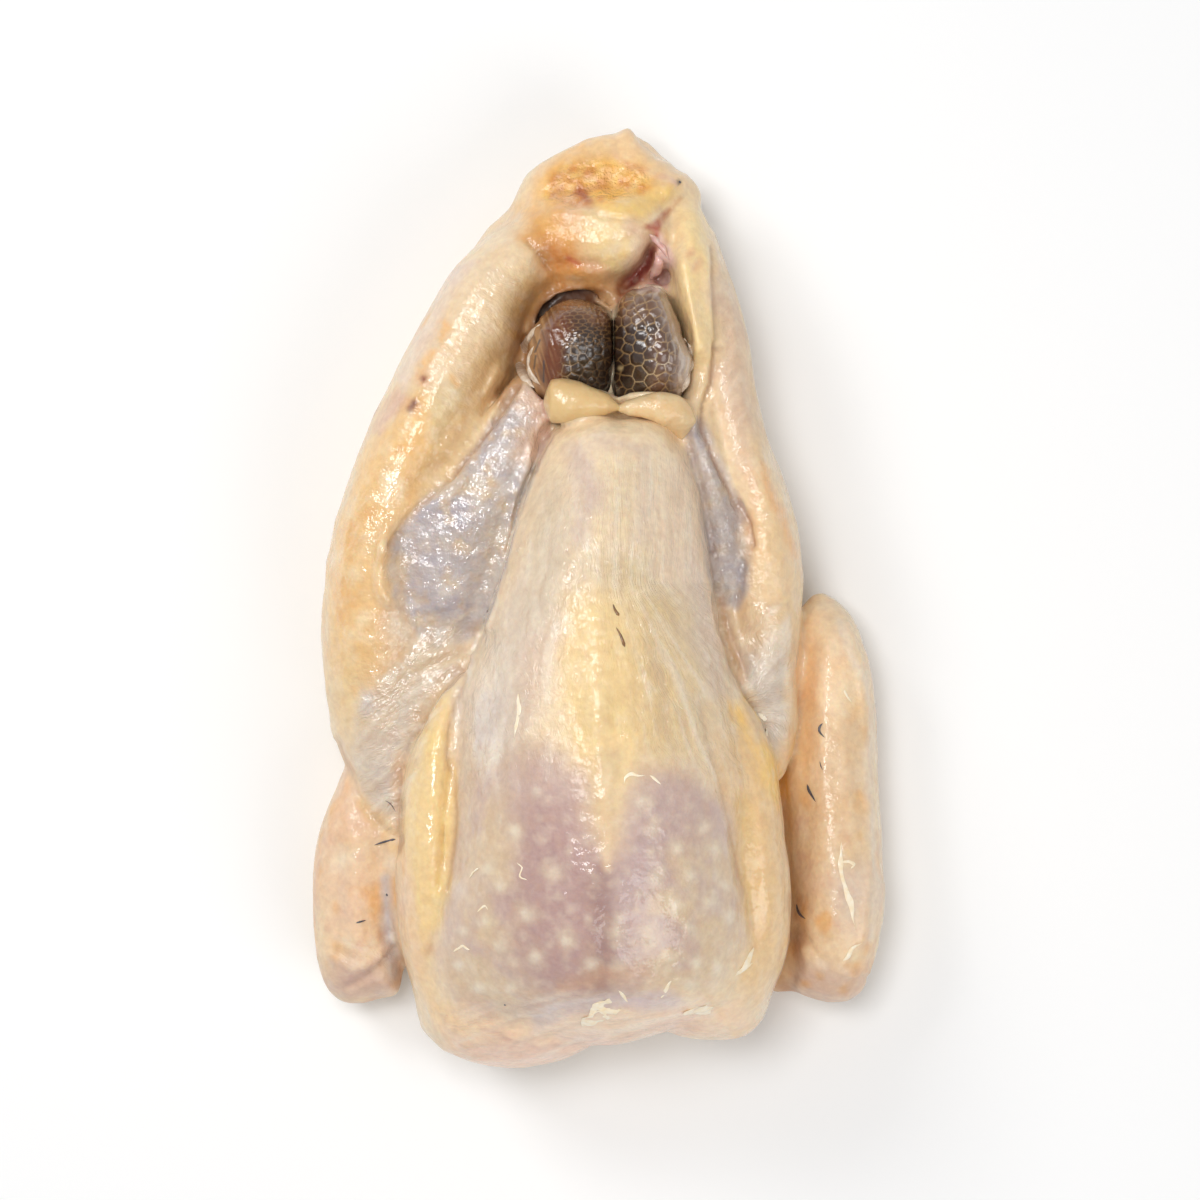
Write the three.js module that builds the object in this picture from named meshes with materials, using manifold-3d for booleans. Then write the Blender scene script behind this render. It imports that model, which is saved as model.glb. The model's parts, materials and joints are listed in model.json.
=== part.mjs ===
// A whole raw guinea fowl, plucked and drawn, lying on its back.
//
// Millimetres, +Z up. The bird lies along Y with its neck end at -Y and its tail at +Y, and the
// origin is on the surface it lies on, under the middle of the bird. It is one piece of flesh and
// skin: back, breast, legs, wings, tail and the fat at the vent are fused into one solid. The two
// scaly hocks, tucked in at the vent through the cut edge of the leg skin, are solids of their own.
import * as THREE from "three";
import { mergeVertices } from "three/addons/utils/BufferGeometryUtils.js";
import Module from "manifold-3d";

const wasm = await Module();
wasm.setup();

// Driving sizes of the bird as it lies.
const TAIL_Y = 130.5; // tip of the tail
const NECK_Y = -130.5; // front of the breast
const KEEL_Z = 98; // top of the breastbone
const HOCK_GAP = 0.35; // clearance round each hock, where it comes out of the leg skin

// One body form is a closed loft: rings set along a smooth path. Each station of the path is
//   [x, y, z, left, right, up, down]
// the path's point, and how far the flesh reaches from it to each side, looking along the path.
// The ends are rounded over a cap length, and `fullness` is 2 for an oval ring, more for a
// squarer one. `grow` makes the whole form bigger by that much all round.
function loft(stations, { rings, sides, startCap = 12, endCap = 12, fullness = 2, grow = 0 }) {
  const pick = (i, j, k) => stations.map((s) => new THREE.Vector3(s[i], s[j], s[k]));
  const path = new THREE.CatmullRomCurve3(pick(0, 1, 2));
  const reachAcross = new THREE.CatmullRomCurve3(pick(3, 4, 4));
  const reachUpright = new THREE.CatmullRomCurve3(pick(5, 6, 6));
  const length = path.getLength();
  const roundedEnd = (distance, cap) => {
    const inside = 1 - Math.min(distance / cap, 1);
    return Math.sqrt(1 - inside * inside);
  };
  const bow = (value) => Math.sign(value) * Math.abs(value) ** (2 / fullness);

  const geometry = new THREE.SphereGeometry(1, sides, rings);
  geometry.deleteAttribute("normal");
  geometry.deleteAttribute("uv");
  const ball = geometry.attributes.position;
  for (let i = 0; i < ball.count; i++) {
    const along = THREE.MathUtils.clamp((1 + ball.getY(i)) / 2, 0, 1);
    const angle = Math.atan2(ball.getZ(i), ball.getX(i));
    const onAxis = Math.hypot(ball.getX(i), ball.getZ(i)) < 1e-6;
    const t = path.getUtoTmapping(along);
    const place = path.getPoint(t);
    const tangent = path.getTangent(t);
    const rightward = new THREE.Vector3(tangent.y, -tangent.x, 0).normalize();
    const across = reachAcross.getPoint(t);
    const upright = reachUpright.getPoint(t);
    const size = onAxis
      ? 0
      : roundedEnd(along * length, startCap) * roundedEnd((1 - along) * length, endCap);
    const sideways = bow(Math.cos(angle)) * size;
    const vertical = bow(Math.sin(angle)) * size;
    place.addScaledVector(rightward, sideways * ((sideways > 0 ? across.y : across.x) + grow));
    place.z += vertical * ((vertical > 0 ? upright.x : upright.y) + grow);
    place.addScaledVector(tangent, grow * (2 * along - 1));
    ball.setXYZ(i, place.x, place.y, place.z);
  }
  return solid(geometry);
}

// A closed geometry as a solid that can be joined and cut.
function solid(geometry) {
  const merged = mergeVertices(geometry, 1e-4);
  return new wasm.Manifold(
    new wasm.Mesh({
      numProp: 3,
      vertProperties: new Float32Array(merged.attributes.position.array),
      triVerts: new Uint32Array(merged.index.array),
    }),
  );
}

// The lower body: spine, ribs and pelvis, flattened where the bird lies on them.
function back() {
  return loft(
    [
      [-1, -119, 24, 38, 36, 20, 22],
      [-2, -100, 26, 54, 50, 22, 29],
      [-4, -68, 26, 59, 52, 20, 30],
      [-8, -30, 25, 66, 60, 14, 29],
      [-9, 5, 24, 66, 62, 10, 29],
      [-7, 40, 24, 59, 53, 10, 28],
      [-5, 68, 23, 46, 44, 10, 27],
      [-1, 92, 21, 35, 32, 10, 23],
      [4, 112, 18, 26, 20, 10, 15],
    ],
    { rings: 18, sides: 22, startCap: 20, endCap: 12, fullness: 2.8 },
  );
}

// The breast over its keel: a long dome, narrow at the vent and wide at the shoulders.
function breast() {
  return loft(
    [
      [-1, -123, 41, 32, 30, 28, 28],
      [-1, -110, 45, 44, 41, 38, 30],
      [0, -93, 48, 47.5, 43.5, 46, 30],
      [1, -71, 49, 45.5, 41, KEEL_Z - 49, 30],
      [1, -50, 50, 44, 40, KEEL_Z - 50, 30],
      [0, -30, 50, 40, 38, KEEL_Z - 50.5, 30],
      [0, -12, 49.5, 33, 34, KEEL_Z - 52, 30],
      [1, 5, 48.5, 27, 31.5, KEEL_Z - 55, 30],
      [3, 21, 47, 23, 26.5, KEEL_Z - 60, 28],
      [4, 35, 45.5, 19.5, 22, KEEL_Z - 67, 26],
      [4.5, 46, 45, 16, 18, KEEL_Z - 75, 22],
      [4.5, 52.5, 44, 12, 14, KEEL_Z - 82, 18],
    ],
    { rings: 30, sides: 32, startCap: 22, endCap: 7 },
  );
}

// The two muscles that swell either side of the wishbone, at the neck end.
function breastLobes() {
  const left = loft(
    [
      [-22, NECK_Y, 29, 15, 19, 16, 18],
      [-23, -122, 34, 19.5, 25, 24, 22],
      [-25, -112, 38, 27, 28, 30, 26],
      [-23, -94, 43, 29, 27, 35, 28],
      [-19, -76, 46, 24, 24, 35, 28],
    ],
    { rings: 16, sides: 22, startCap: 9, endCap: 20 },
  );
  const right = loft(
    [
      [27, NECK_Y + 8.5, 30, 17, 13, 16, 18],
      [28, -114.5, 35, 22, 18, 24, 22],
      [27, -102, 40, 24, 24, 31, 26],
      [23, -82, 44, 22, 22, 34, 28],
    ],
    { rings: 14, sides: 20, startCap: 8, endCap: 20 },
  );
  return [left, right];
}

// The fat rolls over the wing roots, along both sides of the breast.
function shoulderRolls() {
  const left = loft(
    [
      [-36, -116, 36, 10, 10, 14, 18],
      [-43, -105, 39, 9.5, 10, 19, 20],
      [-46.5, -89, 42, 9.5, 10, 23, 24],
      [-47, -68, 45, 9.2, 9.5, 24, 24],
      [-46, -51, 46, 9, 9, 23, 24],
      [-42, -37, 47, 8, 8, 21, 22],
      [-36, -25, 48, 6, 7, 17, 18],
      [-30, -14, 49, 3, 5, 12, 14],
    ],
    { rings: 20, sides: 14, startCap: 12, endCap: 8 },
  );
  const right = loft(
    [
      [33, -112, 36, 10, 10, 14, 18],
      [40.5, -100, 40, 10, 10.5, 19, 22],
      [43, -84, 43, 9.5, 10, 22, 24],
      [42, -66, 45, 10, 9.2, 23, 24],
      [40, -50, 46, 11, 9.5, 22, 24],
      [36.5, -38, 46.5, 10, 9.5, 20, 22],
      [33, -26, 47, 6, 7, 16, 18],
      [30, -16, 48, 3, 4, 11, 12],
    ],
    { rings: 20, sides: 14, startCap: 12, endCap: 8 },
  );
  return [left, right];
}

// The skin of the neck, folded under the front of the breast. It runs from left to right.
function neckSkin() {
  return loft(
    [
      [-48, -103, 24, 8, 6, 12, 16],
      [-38, -116, 22, 8, 6, 12, 14],
      [-20, -121, 21, 8, 6, 12, 13],
      [0, -113, 22, 8, 6, 12, 13],
      [12, -109, 22, 8, 6, 12, 13],
      [27, -113, 22, 8, 6, 12, 13],
      [43, -105, 23, 8, 6, 12, 14],
    ],
    { rings: 20, sides: 12, startCap: 10, endCap: 10 },
  );
}

// The thighs and the belly skin round them: a thick roll down each side of the bird.
function legRolls() {
  const left = loft(
    [
      [-50, -68, 26, 8, 10, 10, 24],
      [-54.5, -54, 25, 12, 16, 15, 26],
      [-60, -37, 25, 15, 22, 18, 28],
      [-62, -18, 26, 15.8, 24, 21, 30],
      [-62.5, 0, 28, 15.2, 17, 23, 31],
      [-62, 14, 29, 14, 11, 24, 31],
      [-58.5, 27, 29, 13.5, 12, 25, 31],
      [-52, 42, 29, 14, 13.5, 26, 31],
      [-45, 57, 29, 13.5, 14.5, 27, 31],
      [-37.5, 72, 28, 13.5, 15, 26, 30],
      [-29.5, 86, 27, 13, 13, 25, 29],
      [-17, 97, 25, 12, 12, 22, 26],
      [-2, 103, 24, 10, 10, 18, 22],
    ],
    { rings: 32, sides: 20, startCap: 10, endCap: 10, fullness: 2.1 },
  );
  const right = loft(
    [
      [44, -50, 24, 15, 9, 17, 24],
      [44.5, -30, 26, 15, 9.8, 19, 27],
      [45, -8, 28, 13.5, 10.8, 21, 29],
      [45.5, 10, 29, 10, 11, 22.5, 30],
      [43.5, 26, 29, 9, 10, 22.5, 30],
      [39, 42, 29, 9, 8.4, 22, 29],
      [36, 58, 29, 8, 7.2, 21, 29],
      [35, 74, 28, 6.5, 6.3, 20, 28],
      [31.5, 90, 26, 6, 5, 18, 26],
      [26, 103, 24, 6, 5, 15, 21],
      [20, 110, 22, 6, 5, 12, 17],
    ],
    { rings: 30, sides: 16, startCap: 14, endCap: 8, fullness: 2.1 },
  );
  return [left, right];
}

// The skin of the flanks, stretched from the thighs to the breast.
function flanks() {
  const left = loft(
    [
      [-38, -58, 34, 16, 18, 8, 22],
      [-43, -38, 34, 18, 18, 12, 22],
      [-45, -18, 34, 17, 18, 13, 22],
      [-45, 0, 33, 14, 18, 11, 22],
    ],
    { rings: 12, sides: 14, startCap: 12, endCap: 12 },
  );
  const right = loft(
    [
      [36, -54, 34, 18, 14, 8, 22],
      [40, -36, 35, 18, 15, 11, 22],
      [41, -18, 35, 18, 13, 12, 22],
      [37, 4, 34, 18, 10, 9, 22],
    ],
    { rings: 12, sides: 14, startCap: 12, endCap: 8 },
  );
  return [left, right];
}

// The drumsticks, lying from knee to hock between the leg rolls and the breast.
function drumsticks() {
  const left = loft(
    [
      [-38, -15, 33, 13, 18, 11, 18],
      [-42, 4, 35, 18, 20, 15.5, 20],
      [-38, 22, 37, 16, 18, 16.5, 22],
      [-29.5, 38, 39, 12, 15, 15.5, 22],
      [-22, 52, 41, 7, 10, 12, 22],
      [-17, 63, 42, 5, 8, 9, 20],
    ],
    { rings: 20, sides: 18, startCap: 14, endCap: 6 },
  );
  const right = loft(
    [
      [34, -6, 35, 9, 7, 10, 16],
      [35, 9, 36.5, 10, 7.5, 13, 18],
      [32, 26, 38, 9, 7.5, 14, 18],
      [28.5, 42, 40, 7, 6.5, 12.5, 20],
      [26.5, 58, 40, 6, 5, 10, 20],
    ],
    { rings: 16, sides: 14, startCap: 12, endCap: 6 },
  );
  return [left, right];
}

// The tail, folded up over the vent, and the roll of fat in front of it, which runs from the left
// leg roll to the belt of skin beside the right hock.
function tail() {
  const flap = loft(
    [
      [8, 93, 24, 34, 20, 12, 22],
      [8, 105, 24, 35, 21, 16, 22],
      [8, 112, 24, 32.5, 20, 17, 20],
      [8, 118.5, 25, 29.5, 15, 14.5, 16],
      [8, 123.5, 26, 22.5, 11, 11, 12],
      [8, 127.5, 27, 14, 7.5, 8, 8],
      [8, TAIL_Y, 27, 5, 4, 5, 5],
    ],
    { rings: 18, sides: 18, startCap: 8, endCap: 3, fullness: 2.3 },
  );
  const roll = loft(
    [
      [-26, 99, 30, 10, 8, 10, 16],
      [-14, 99, 33, 14, 11, 13, 18],
      [0, 99.5, 35, 15, 12.5, 14, 20],
      [11, 100.5, 36, 13, 11.5, 13, 18],
      [21, 104, 33, 9, 7, 10, 16],
    ],
    { rings: 16, sides: 16, startCap: 8, endCap: 6 },
  );
  const belt = loft(
    [
      [26, 46, 36, 5, 5, 12, 18],
      [28.5, 60, 37, 6, 5.5, 13, 20],
      [28.5, 75, 37, 7, 6, 14, 22],
      [26.5, 90, 35, 7, 6.5, 14.5, 20],
      [24, 102, 32, 6, 6, 13, 18],
      [22, 112, 28, 5, 6, 10, 14],
    ],
    { rings: 20, sides: 12, startCap: 8, endCap: 7 },
  );
  return [flap, roll, belt];
}

// The shallow raw patch on the tail where its gland was cut off.
function tailCrater() {
  return loft(
    [
      [-11, 115, 44, 4, 4, 6, 3],
      [-4, 116.5, 44, 6, 6, 6, 5],
      [5, 117, 44, 6, 6, 6, 5.5],
      [13, 115, 44, 4, 4, 6, 4],
    ],
    { rings: 10, sides: 12, startCap: 6, endCap: 6 },
  );
}

// The belly wall under the hocks, and the lumps of fat between them and the tip of the breast.
function belly() {
  const wall = loft(
    [
      [3, 32, 34, 25, 26, 10, 20],
      [3, 48, 36, 24, 25, 10, 20],
      [3, 60, 37, 24, 24, 10, 20],
      [2, 74, 37, 22, 24, 10, 20],
      [2, 90, 34, 20, 22, 8, 20],
    ],
    { rings: 12, sides: 16, startCap: 8, endCap: 8 },
  );
  const leftFat = loft(
    [
      [6, 52.5, 50, 3.5, 3.5, 6, 8],
      [-1, 53.5, 53, 5, 4.5, 7.5, 12],
      [-8.5, 54.5, 53.5, 6.5, 5.5, 7.5, 14],
      [-15, 57, 51, 5, 4.5, 6, 12],
    ],
    { rings: 12, sides: 12, startCap: 5, endCap: 5 },
  );
  const rightFat = loft(
    [
      [22, 40, 47, 4, 3, 7, 12],
      [24, 48, 49, 5.5, 3.5, 8, 14],
      [18.5, 54, 51, 4.5, 4, 8, 14],
      [10, 54, 52, 4, 3.5, 7, 12],
      [4, 52, 50, 3, 3, 5, 8],
    ],
    { rings: 14, sides: 12, startCap: 5, endCap: 5 },
  );
  return [wall, leftFat, rightFat];
}

// The wings, folded along the body: upper arm and forearm lie together, the tip points to the tail.
// The right one stands off the body, and a web of skin low down between them joins the two.
function wings() {
  const right = loft(
    [
      [61, -113, 16, 11, 11, 13, 18],
      [65, -100, 18, 11.5, 12, 18, 20],
      [67.3, -84, 19, 13.4, 12.6, 19, 21],
      [67, -66, 19, 14.4, 12.6, 18, 21],
      [65.8, -50, 18, 14, 13, 17, 20],
      [64.8, -28, 17, 10.5, 12.2, 16, 19],
      [63.6, -12, 16, 8.8, 10.6, 14, 17],
      [61, 2.6, 14, 6, 7.6, 10, 12],
    ],
    { rings: 24, sides: 18, startCap: 8, endCap: 15, fullness: 2.2 },
  );
  const left = loft(
    [
      [-63, -113, 15, 10, 12, 12, 17],
      [-67.5, -101, 17, 12, 12, 16, 19],
      [-68.5, -84, 18, 12.2, 13, 18, 20],
      [-67, -68, 19, 12.3, 13, 18, 21],
      [-63.5, -54, 19, 10.8, 13, 17, 21],
      [-59, -38, 20, 9, 12, 14, 22],
    ],
    { rings: 22, sides: 18, startCap: 8, endCap: 14, fullness: 2.2 },
  );
  const rightWeb = loft(
    [
      [53, -110, 12, 12, 10, 9, 14],
      [54, -92, 13, 12, 10, 10, 15],
      [55, -60, 12, 12, 10, 8, 14],
      [56, -30, 11, 11, 9, 7, 13],
      [56.5, -6, 10, 8, 8, 6, 12],
    ],
    { rings: 16, sides: 12, startCap: 7, endCap: 8 },
  );
  return [right, left, rightWeb];
}

// The gash beside the vent, where the bird was drawn.
function ventGash() {
  return loft(
    [
      [4, 82, 52, 2, 1.5, 9, 14],
      [8, 88, 52, 2.4, 2, 12, 16],
      [13, 93, 52, 2.2, 1.8, 12, 16],
      [15, 100, 52, 1.4, 1.2, 12, 14],
    ],
    { rings: 10, sides: 10, startCap: 4, endCap: 4 },
  );
}

// The hocks: the scaly knuckles at the ends of the drumsticks. `grow` is for the sockets round them.
function leftHock(grow) {
  return loft(
    [
      [-1, 50, 40, 5, 5, 5, 6],
      [-5, 56, 44, 10.5, 8.8, 8, 10],
      [-8, 64, 48, 12, 11.8, 11.5, 14],
      [-8, 71, 49.5, 11.5, 11.9, 12.5, 14],
      [-6.5, 78, 48.5, 9, 10.4, 11, 12],
      [-5.5, 84, 47, 5.5, 8, 7, 8],
    ],
    { rings: 16, sides: 18, startCap: 5, endCap: 5, grow },
  );
}

function rightHock(grow) {
  return loft(
    [
      [8, 50, 42, 5, 5, 5, 6],
      [12, 57, 46, 9, 9, 8.5, 11],
      [15, 65, 49.5, 11.6, 10.3, 12.5, 15],
      [15.3, 73, 50, 11.8, 9.8, 13, 15],
      [14, 80, 49, 10.4, 8, 11.5, 12],
      [12.5, 87, 47, 7.5, 5.5, 7.5, 8],
    ],
    { rings: 16, sides: 18, startCap: 5, endCap: 5, grow },
  );
}

// Everything below the surface that the bird lies on is cut away, which leaves its back flat.
function restingSurface() {
  const room = 400;
  const slab = new THREE.BoxGeometry(room, room, room);
  slab.deleteAttribute("normal");
  slab.deleteAttribute("uv");
  slab.translate(0, 0, -room / 2);
  return solid(slab);
}

function mesh(name, shape, material) {
  const { numProp, vertProperties, triVerts } = shape.getMesh();
  const positions = new THREE.BufferAttribute(new Float32Array(vertProperties), numProp);
  const geometry = new THREE.BufferGeometry().setAttribute("position", positions);
  geometry.setIndex(new THREE.BufferAttribute(new Uint32Array(triVerts), 1));
  geometry.computeVertexNormals();
  const made = new THREE.Mesh(geometry, material);
  made.name = name;
  return made;
}

const flesh = [
  back(),
  breast(),
  ...breastLobes(),
  ...shoulderRolls(),
  neckSkin(),
  ...legRolls(),
  ...flanks(),
  ...drumsticks(),
  ...tail(),
  ...belly(),
  ...wings(),
];
const cuts = [
  tailCrater(),
  ventGash(),
  leftHock(HOCK_GAP),
  rightHock(HOCK_GAP),
  restingSurface(),
];
const joined = flesh.reduce((all, form) => all.add(form));
const carcass = cuts.reduce((rest, cut) => rest.subtract(cut), joined);

const skin = new THREE.MeshStandardMaterial({ color: "#e6c9a2", roughness: 0.4, metalness: 0 });
const scales = new THREE.MeshStandardMaterial({ color: "#4f3d31", roughness: 0.3, metalness: 0 });

const bird = new THREE.Group();
bird.add(mesh("carcass", carcass, skin));
bird.add(mesh("hock_left", leftHock(0), scales));
bird.add(mesh("hock_right", rightHock(0).subtract(leftHock(HOCK_GAP)), scales));

export default bird;
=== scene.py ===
import itertools
import json
import math

import bpy
import numpy as np
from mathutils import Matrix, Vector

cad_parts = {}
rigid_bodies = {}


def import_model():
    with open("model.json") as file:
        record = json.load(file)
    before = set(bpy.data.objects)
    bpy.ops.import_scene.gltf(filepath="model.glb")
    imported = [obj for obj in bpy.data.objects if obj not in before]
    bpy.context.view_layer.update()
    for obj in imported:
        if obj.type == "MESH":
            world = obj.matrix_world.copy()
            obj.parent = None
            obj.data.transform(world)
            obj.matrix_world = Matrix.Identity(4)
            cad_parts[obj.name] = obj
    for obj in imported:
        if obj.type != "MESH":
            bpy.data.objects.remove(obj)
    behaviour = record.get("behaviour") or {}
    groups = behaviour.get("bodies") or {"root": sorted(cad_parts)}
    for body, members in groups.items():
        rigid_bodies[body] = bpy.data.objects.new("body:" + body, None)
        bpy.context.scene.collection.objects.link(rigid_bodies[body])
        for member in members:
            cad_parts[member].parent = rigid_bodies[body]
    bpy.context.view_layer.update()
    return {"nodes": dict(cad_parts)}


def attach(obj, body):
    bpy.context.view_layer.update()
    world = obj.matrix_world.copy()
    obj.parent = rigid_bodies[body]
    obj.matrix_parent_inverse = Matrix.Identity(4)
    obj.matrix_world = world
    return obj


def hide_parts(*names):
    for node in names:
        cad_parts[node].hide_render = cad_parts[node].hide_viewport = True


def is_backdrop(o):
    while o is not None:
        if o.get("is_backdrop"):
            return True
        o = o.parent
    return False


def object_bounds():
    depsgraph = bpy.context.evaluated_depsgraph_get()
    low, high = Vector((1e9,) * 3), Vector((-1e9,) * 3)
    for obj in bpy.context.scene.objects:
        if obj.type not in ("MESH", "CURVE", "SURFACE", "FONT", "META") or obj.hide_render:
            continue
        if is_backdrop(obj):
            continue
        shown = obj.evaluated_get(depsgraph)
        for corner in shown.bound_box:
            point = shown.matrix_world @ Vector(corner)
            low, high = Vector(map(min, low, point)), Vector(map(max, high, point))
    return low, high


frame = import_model()

# --- The skin ---------------------------------------------------------------------------------
# The plucked skin of the whole bird, stretched over the breast, legs, wings and tail. It is the
# carcass drawn again as one smooth surface, with its creases, folds, wrinkles and feather pits
# pressed into it, then coloured place by place. Sizes are in mm until the mesh is put back.
MM = 0.001
EYE_HEIGHT = 1285.0  # the eye that looks straight down on the bird, above what it lies on
EYE_PLANE = 35.0  # height at which places on the bird are given as they are seen
SKIN_CELL = 1.03  # side of the small faces that the skin is drawn with
SMOOTHING_ROUNDS = 16
LOW_TOP = 26.0  # below this height the flesh slumps, more the lower it is
SLUMP_STEPS = 8
SLUMP_ROUNDS = 110
UNSEEN_SLOPE = -0.15  # a face whose normal points down more than this isn't seen
MOST_TRIANGLES = 198000


def only(piece):
    """Leaves this piece alone selected."""
    bpy.ops.object.select_all(action="DESELECT")
    piece.select_set(True)
    bpy.context.view_layer.objects.active = piece


def drawn_again(node_name, piece_name, cell, rounds):
    """A merged copy of a CAD node, drawn again with small even faces and smoothed."""
    piece = frame["nodes"][node_name].copy()
    piece.data = piece.data.copy()
    piece.name = piece_name
    piece.data.name = piece_name
    bpy.context.collection.objects.link(piece)
    only(piece)
    bpy.ops.object.mode_set(mode="EDIT")
    bpy.ops.mesh.select_all(action="SELECT")
    bpy.ops.mesh.remove_doubles(threshold=1e-6)
    bpy.ops.object.mode_set(mode="OBJECT")
    redraw = piece.modifiers.new("redraw", "REMESH")
    redraw.mode = "VOXEL"
    redraw.voxel_size = cell * MM
    bpy.ops.object.modifier_apply(modifier=redraw.name)
    soften = piece.modifiers.new("soften", "SMOOTH")
    soften.factor = 0.5
    soften.iterations = rounds
    bpy.ops.object.modifier_apply(modifier=soften.name)
    piece.data.materials.clear()
    bpy.ops.object.shade_smooth()
    return piece


def points_of(piece):
    """The corners of a piece's faces, in mm."""
    flat = np.empty(len(piece.data.vertices) * 3)
    piece.data.vertices.foreach_get("co", flat)
    return flat.reshape(-1, 3) / MM


def normals_of(piece):
    flat = np.empty(len(piece.data.vertices) * 3)
    piece.data.vertices.foreach_get("normal", flat)
    return flat.reshape(-1, 3)


def put_points(piece, points):
    piece.data.vertices.foreach_set("co", (points * MM).ravel())
    piece.data.update()


def as_seen(points):
    """Where each point is seen from straight above, on the plane that places are given on."""
    grow = (EYE_HEIGHT - EYE_PLANE) / (EYE_HEIGHT - points[:, 2])
    return points[:, :2] * grow[:, None]


def ease(value):
    """From 0 to 1 with soft ends, and level outside them."""
    value = np.clip(value, 0, 1)
    return value * value * (3 - 2 * value)


def grain(points, size, seed):
    """Smooth noise from -1 to 1, with features of about that size in mm."""
    place = points / size + seed * 11.37
    cell = np.floor(place).astype(np.int64)
    part = place - cell
    part = part * part * (3 - 2 * part)
    total = np.zeros(len(points))
    for corner in itertools.product((0, 1), repeat=points.shape[1]):
        key = np.full(len(points), seed * 7919 + 13, dtype=np.int64)
        weight = np.ones(len(points))
        for axis, step in enumerate(corner):
            key = (key ^ (cell[:, axis] + step)) * 0x5851F42D
            key = (key ^ (key >> 15)) & 0x7FFFFFFF
            weight = weight * (part[:, axis] if step else 1 - part[:, axis])
        key = (key * 0x2C1B3C6D) & 0x7FFFFFFF
        key = key ^ (key >> 12)
        total += weight * ((key & 0xFFFF) / 32767.5 - 1)
    return total


def mixed_grain(points, size, seed, layers=3):
    """Noise with finer noise laid over it, from about -1 to 1."""
    total = sum(
        grain(points, size / 2**layer, seed + layer) / 2**layer for layer in range(layers)
    )
    return total / (2 - 0.5 ** (layers - 1))


def ridges(points, size, seed):
    """Thin winding ridges, 1 on their crests, about that far apart in mm."""
    return (1 - np.abs(grain(points, size, seed))) ** 5


def reach(seen, line):
    """The distance in mm from each seen place to a line of points."""
    nearest = np.full(len(seen), 1e9)
    for start, end in zip(line, line[1:] or line):
        start, step = np.array(start, float), np.subtract(end, start)
        apart_u, apart_v = seen[:, 0] - start[0], seen[:, 1] - start[1]
        along = (apart_u * step[0] + apart_v * step[1]) / max(step @ step, 1e-9)
        along = np.clip(along, 0, 1)
        nearest = np.minimum(
            nearest, np.hypot(apart_u - along * step[0], apart_v - along * step[1])
        )
    return nearest


def close_to(seen, line, margin):
    """The seen places inside the box round a line of points, with a margin in mm."""
    low_corner = np.min(line, axis=0) - margin
    high_corner = np.max(line, axis=0) + margin
    return np.flatnonzero(
        (seen[:, 0] > low_corner[0]) & (seen[:, 0] < high_corner[0])
        & (seen[:, 1] > low_corner[1]) & (seen[:, 1] < high_corner[1])
    )


def stroke(seen, line, width):
    """1 on the line, easing to 0 at that distance from it."""
    strength = np.zeros(len(seen))
    near = close_to(seen, line, width)
    strength[near] = ease(1 - reach(seen[near], line) / width)
    return strength


def patch(seen, outline, soft):
    """1 inside a closed outline, easing to 0 over the soft edge."""
    strength = np.zeros(len(seen))
    near = close_to(seen, outline, soft)
    x, y = seen[near, 0], seen[near, 1]
    inside = np.zeros(len(near), bool)
    for (x1, y1), (x2, y2) in zip(outline, outline[1:] + outline[:1]):
        if y1 != y2:
            inside ^= ((y1 > y) != (y2 > y)) & (x < (x2 - x1) * (y - y1) / (y2 - y1) + x1)
    distance = reach(seen[near], outline + outline[:1])
    strength[near] = ease(0.5 + np.where(inside, distance, -distance) / (2 * soft))
    return strength


def dots(seen, places, radius):
    """1 at each place, easing to 0 at that distance from it."""
    strength = np.zeros(len(seen))
    for place in places:
        near = close_to(seen, [place], radius)
        strength[near] = np.maximum(strength[near], stroke(seen[near], [place], radius))
    return strength


def strewn(places, spacing, radius, seed):
    """Dots of uneven strength, each moved at random from a grid of that spacing in mm."""
    cell = np.floor(places / spacing).astype(np.int64)
    strength = np.zeros(len(places))
    for step_u, step_v in itertools.product((-1, 0, 1), repeat=2):
        home_u, home_v = cell[:, 0] + step_u, cell[:, 1] + step_v
        key = (home_u * 92821 + home_v * 68917 + seed * 31337) & 0xFFFFFF
        key = (key * 48271 + 11) & 0x7FFFFFFF
        key = (key ^ (key >> 9)) * 16807 & 0x7FFFFFFF
        shift_u, shift_v = (key & 0xFF) / 255, (key >> 8 & 0xFF) / 255
        power = 0.35 + 0.65 * (key >> 16 & 0xFF) / 255
        distance = np.hypot(
            places[:, 0] / spacing - home_u - 0.15 - 0.7 * shift_u,
            places[:, 1] / spacing - home_v - 0.15 - 0.7 * shift_v,
        ) * spacing
        strength = np.maximum(strength, power * ease(1 - distance / radius))
    return strength


def shade(colour):
    """A colour as a screen shows it, 0 to 255, as the amounts of light it stands for."""
    share = np.array(colour) / 255
    return np.where(share <= 0.04045, share / 12.92, ((share + 0.055) / 1.055) ** 2.4)


skin = drawn_again("carcass", "skin", SKIN_CELL, SMOOTHING_ROUNDS)

# Low on its sides the soft flesh rounds over on to what it lies on.
low = skin.vertex_groups.new(name="low")
steps_down = np.ceil(SLUMP_STEPS * (1 - points_of(skin)[:, 2] / LOW_TOP)).clip(0, SLUMP_STEPS)
for step in range(1, SLUMP_STEPS + 1):
    low.add(np.flatnonzero(steps_down == step).tolist(), step / SLUMP_STEPS, "REPLACE")
slump = skin.modifiers.new("slump", "SMOOTH")
slump.factor = 0.5
slump.iterations = SLUMP_ROUNDS
slump.vertex_group = "low"
bpy.ops.object.modifier_apply(modifier=slump.name)
skin.vertex_groups.clear()

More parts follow.
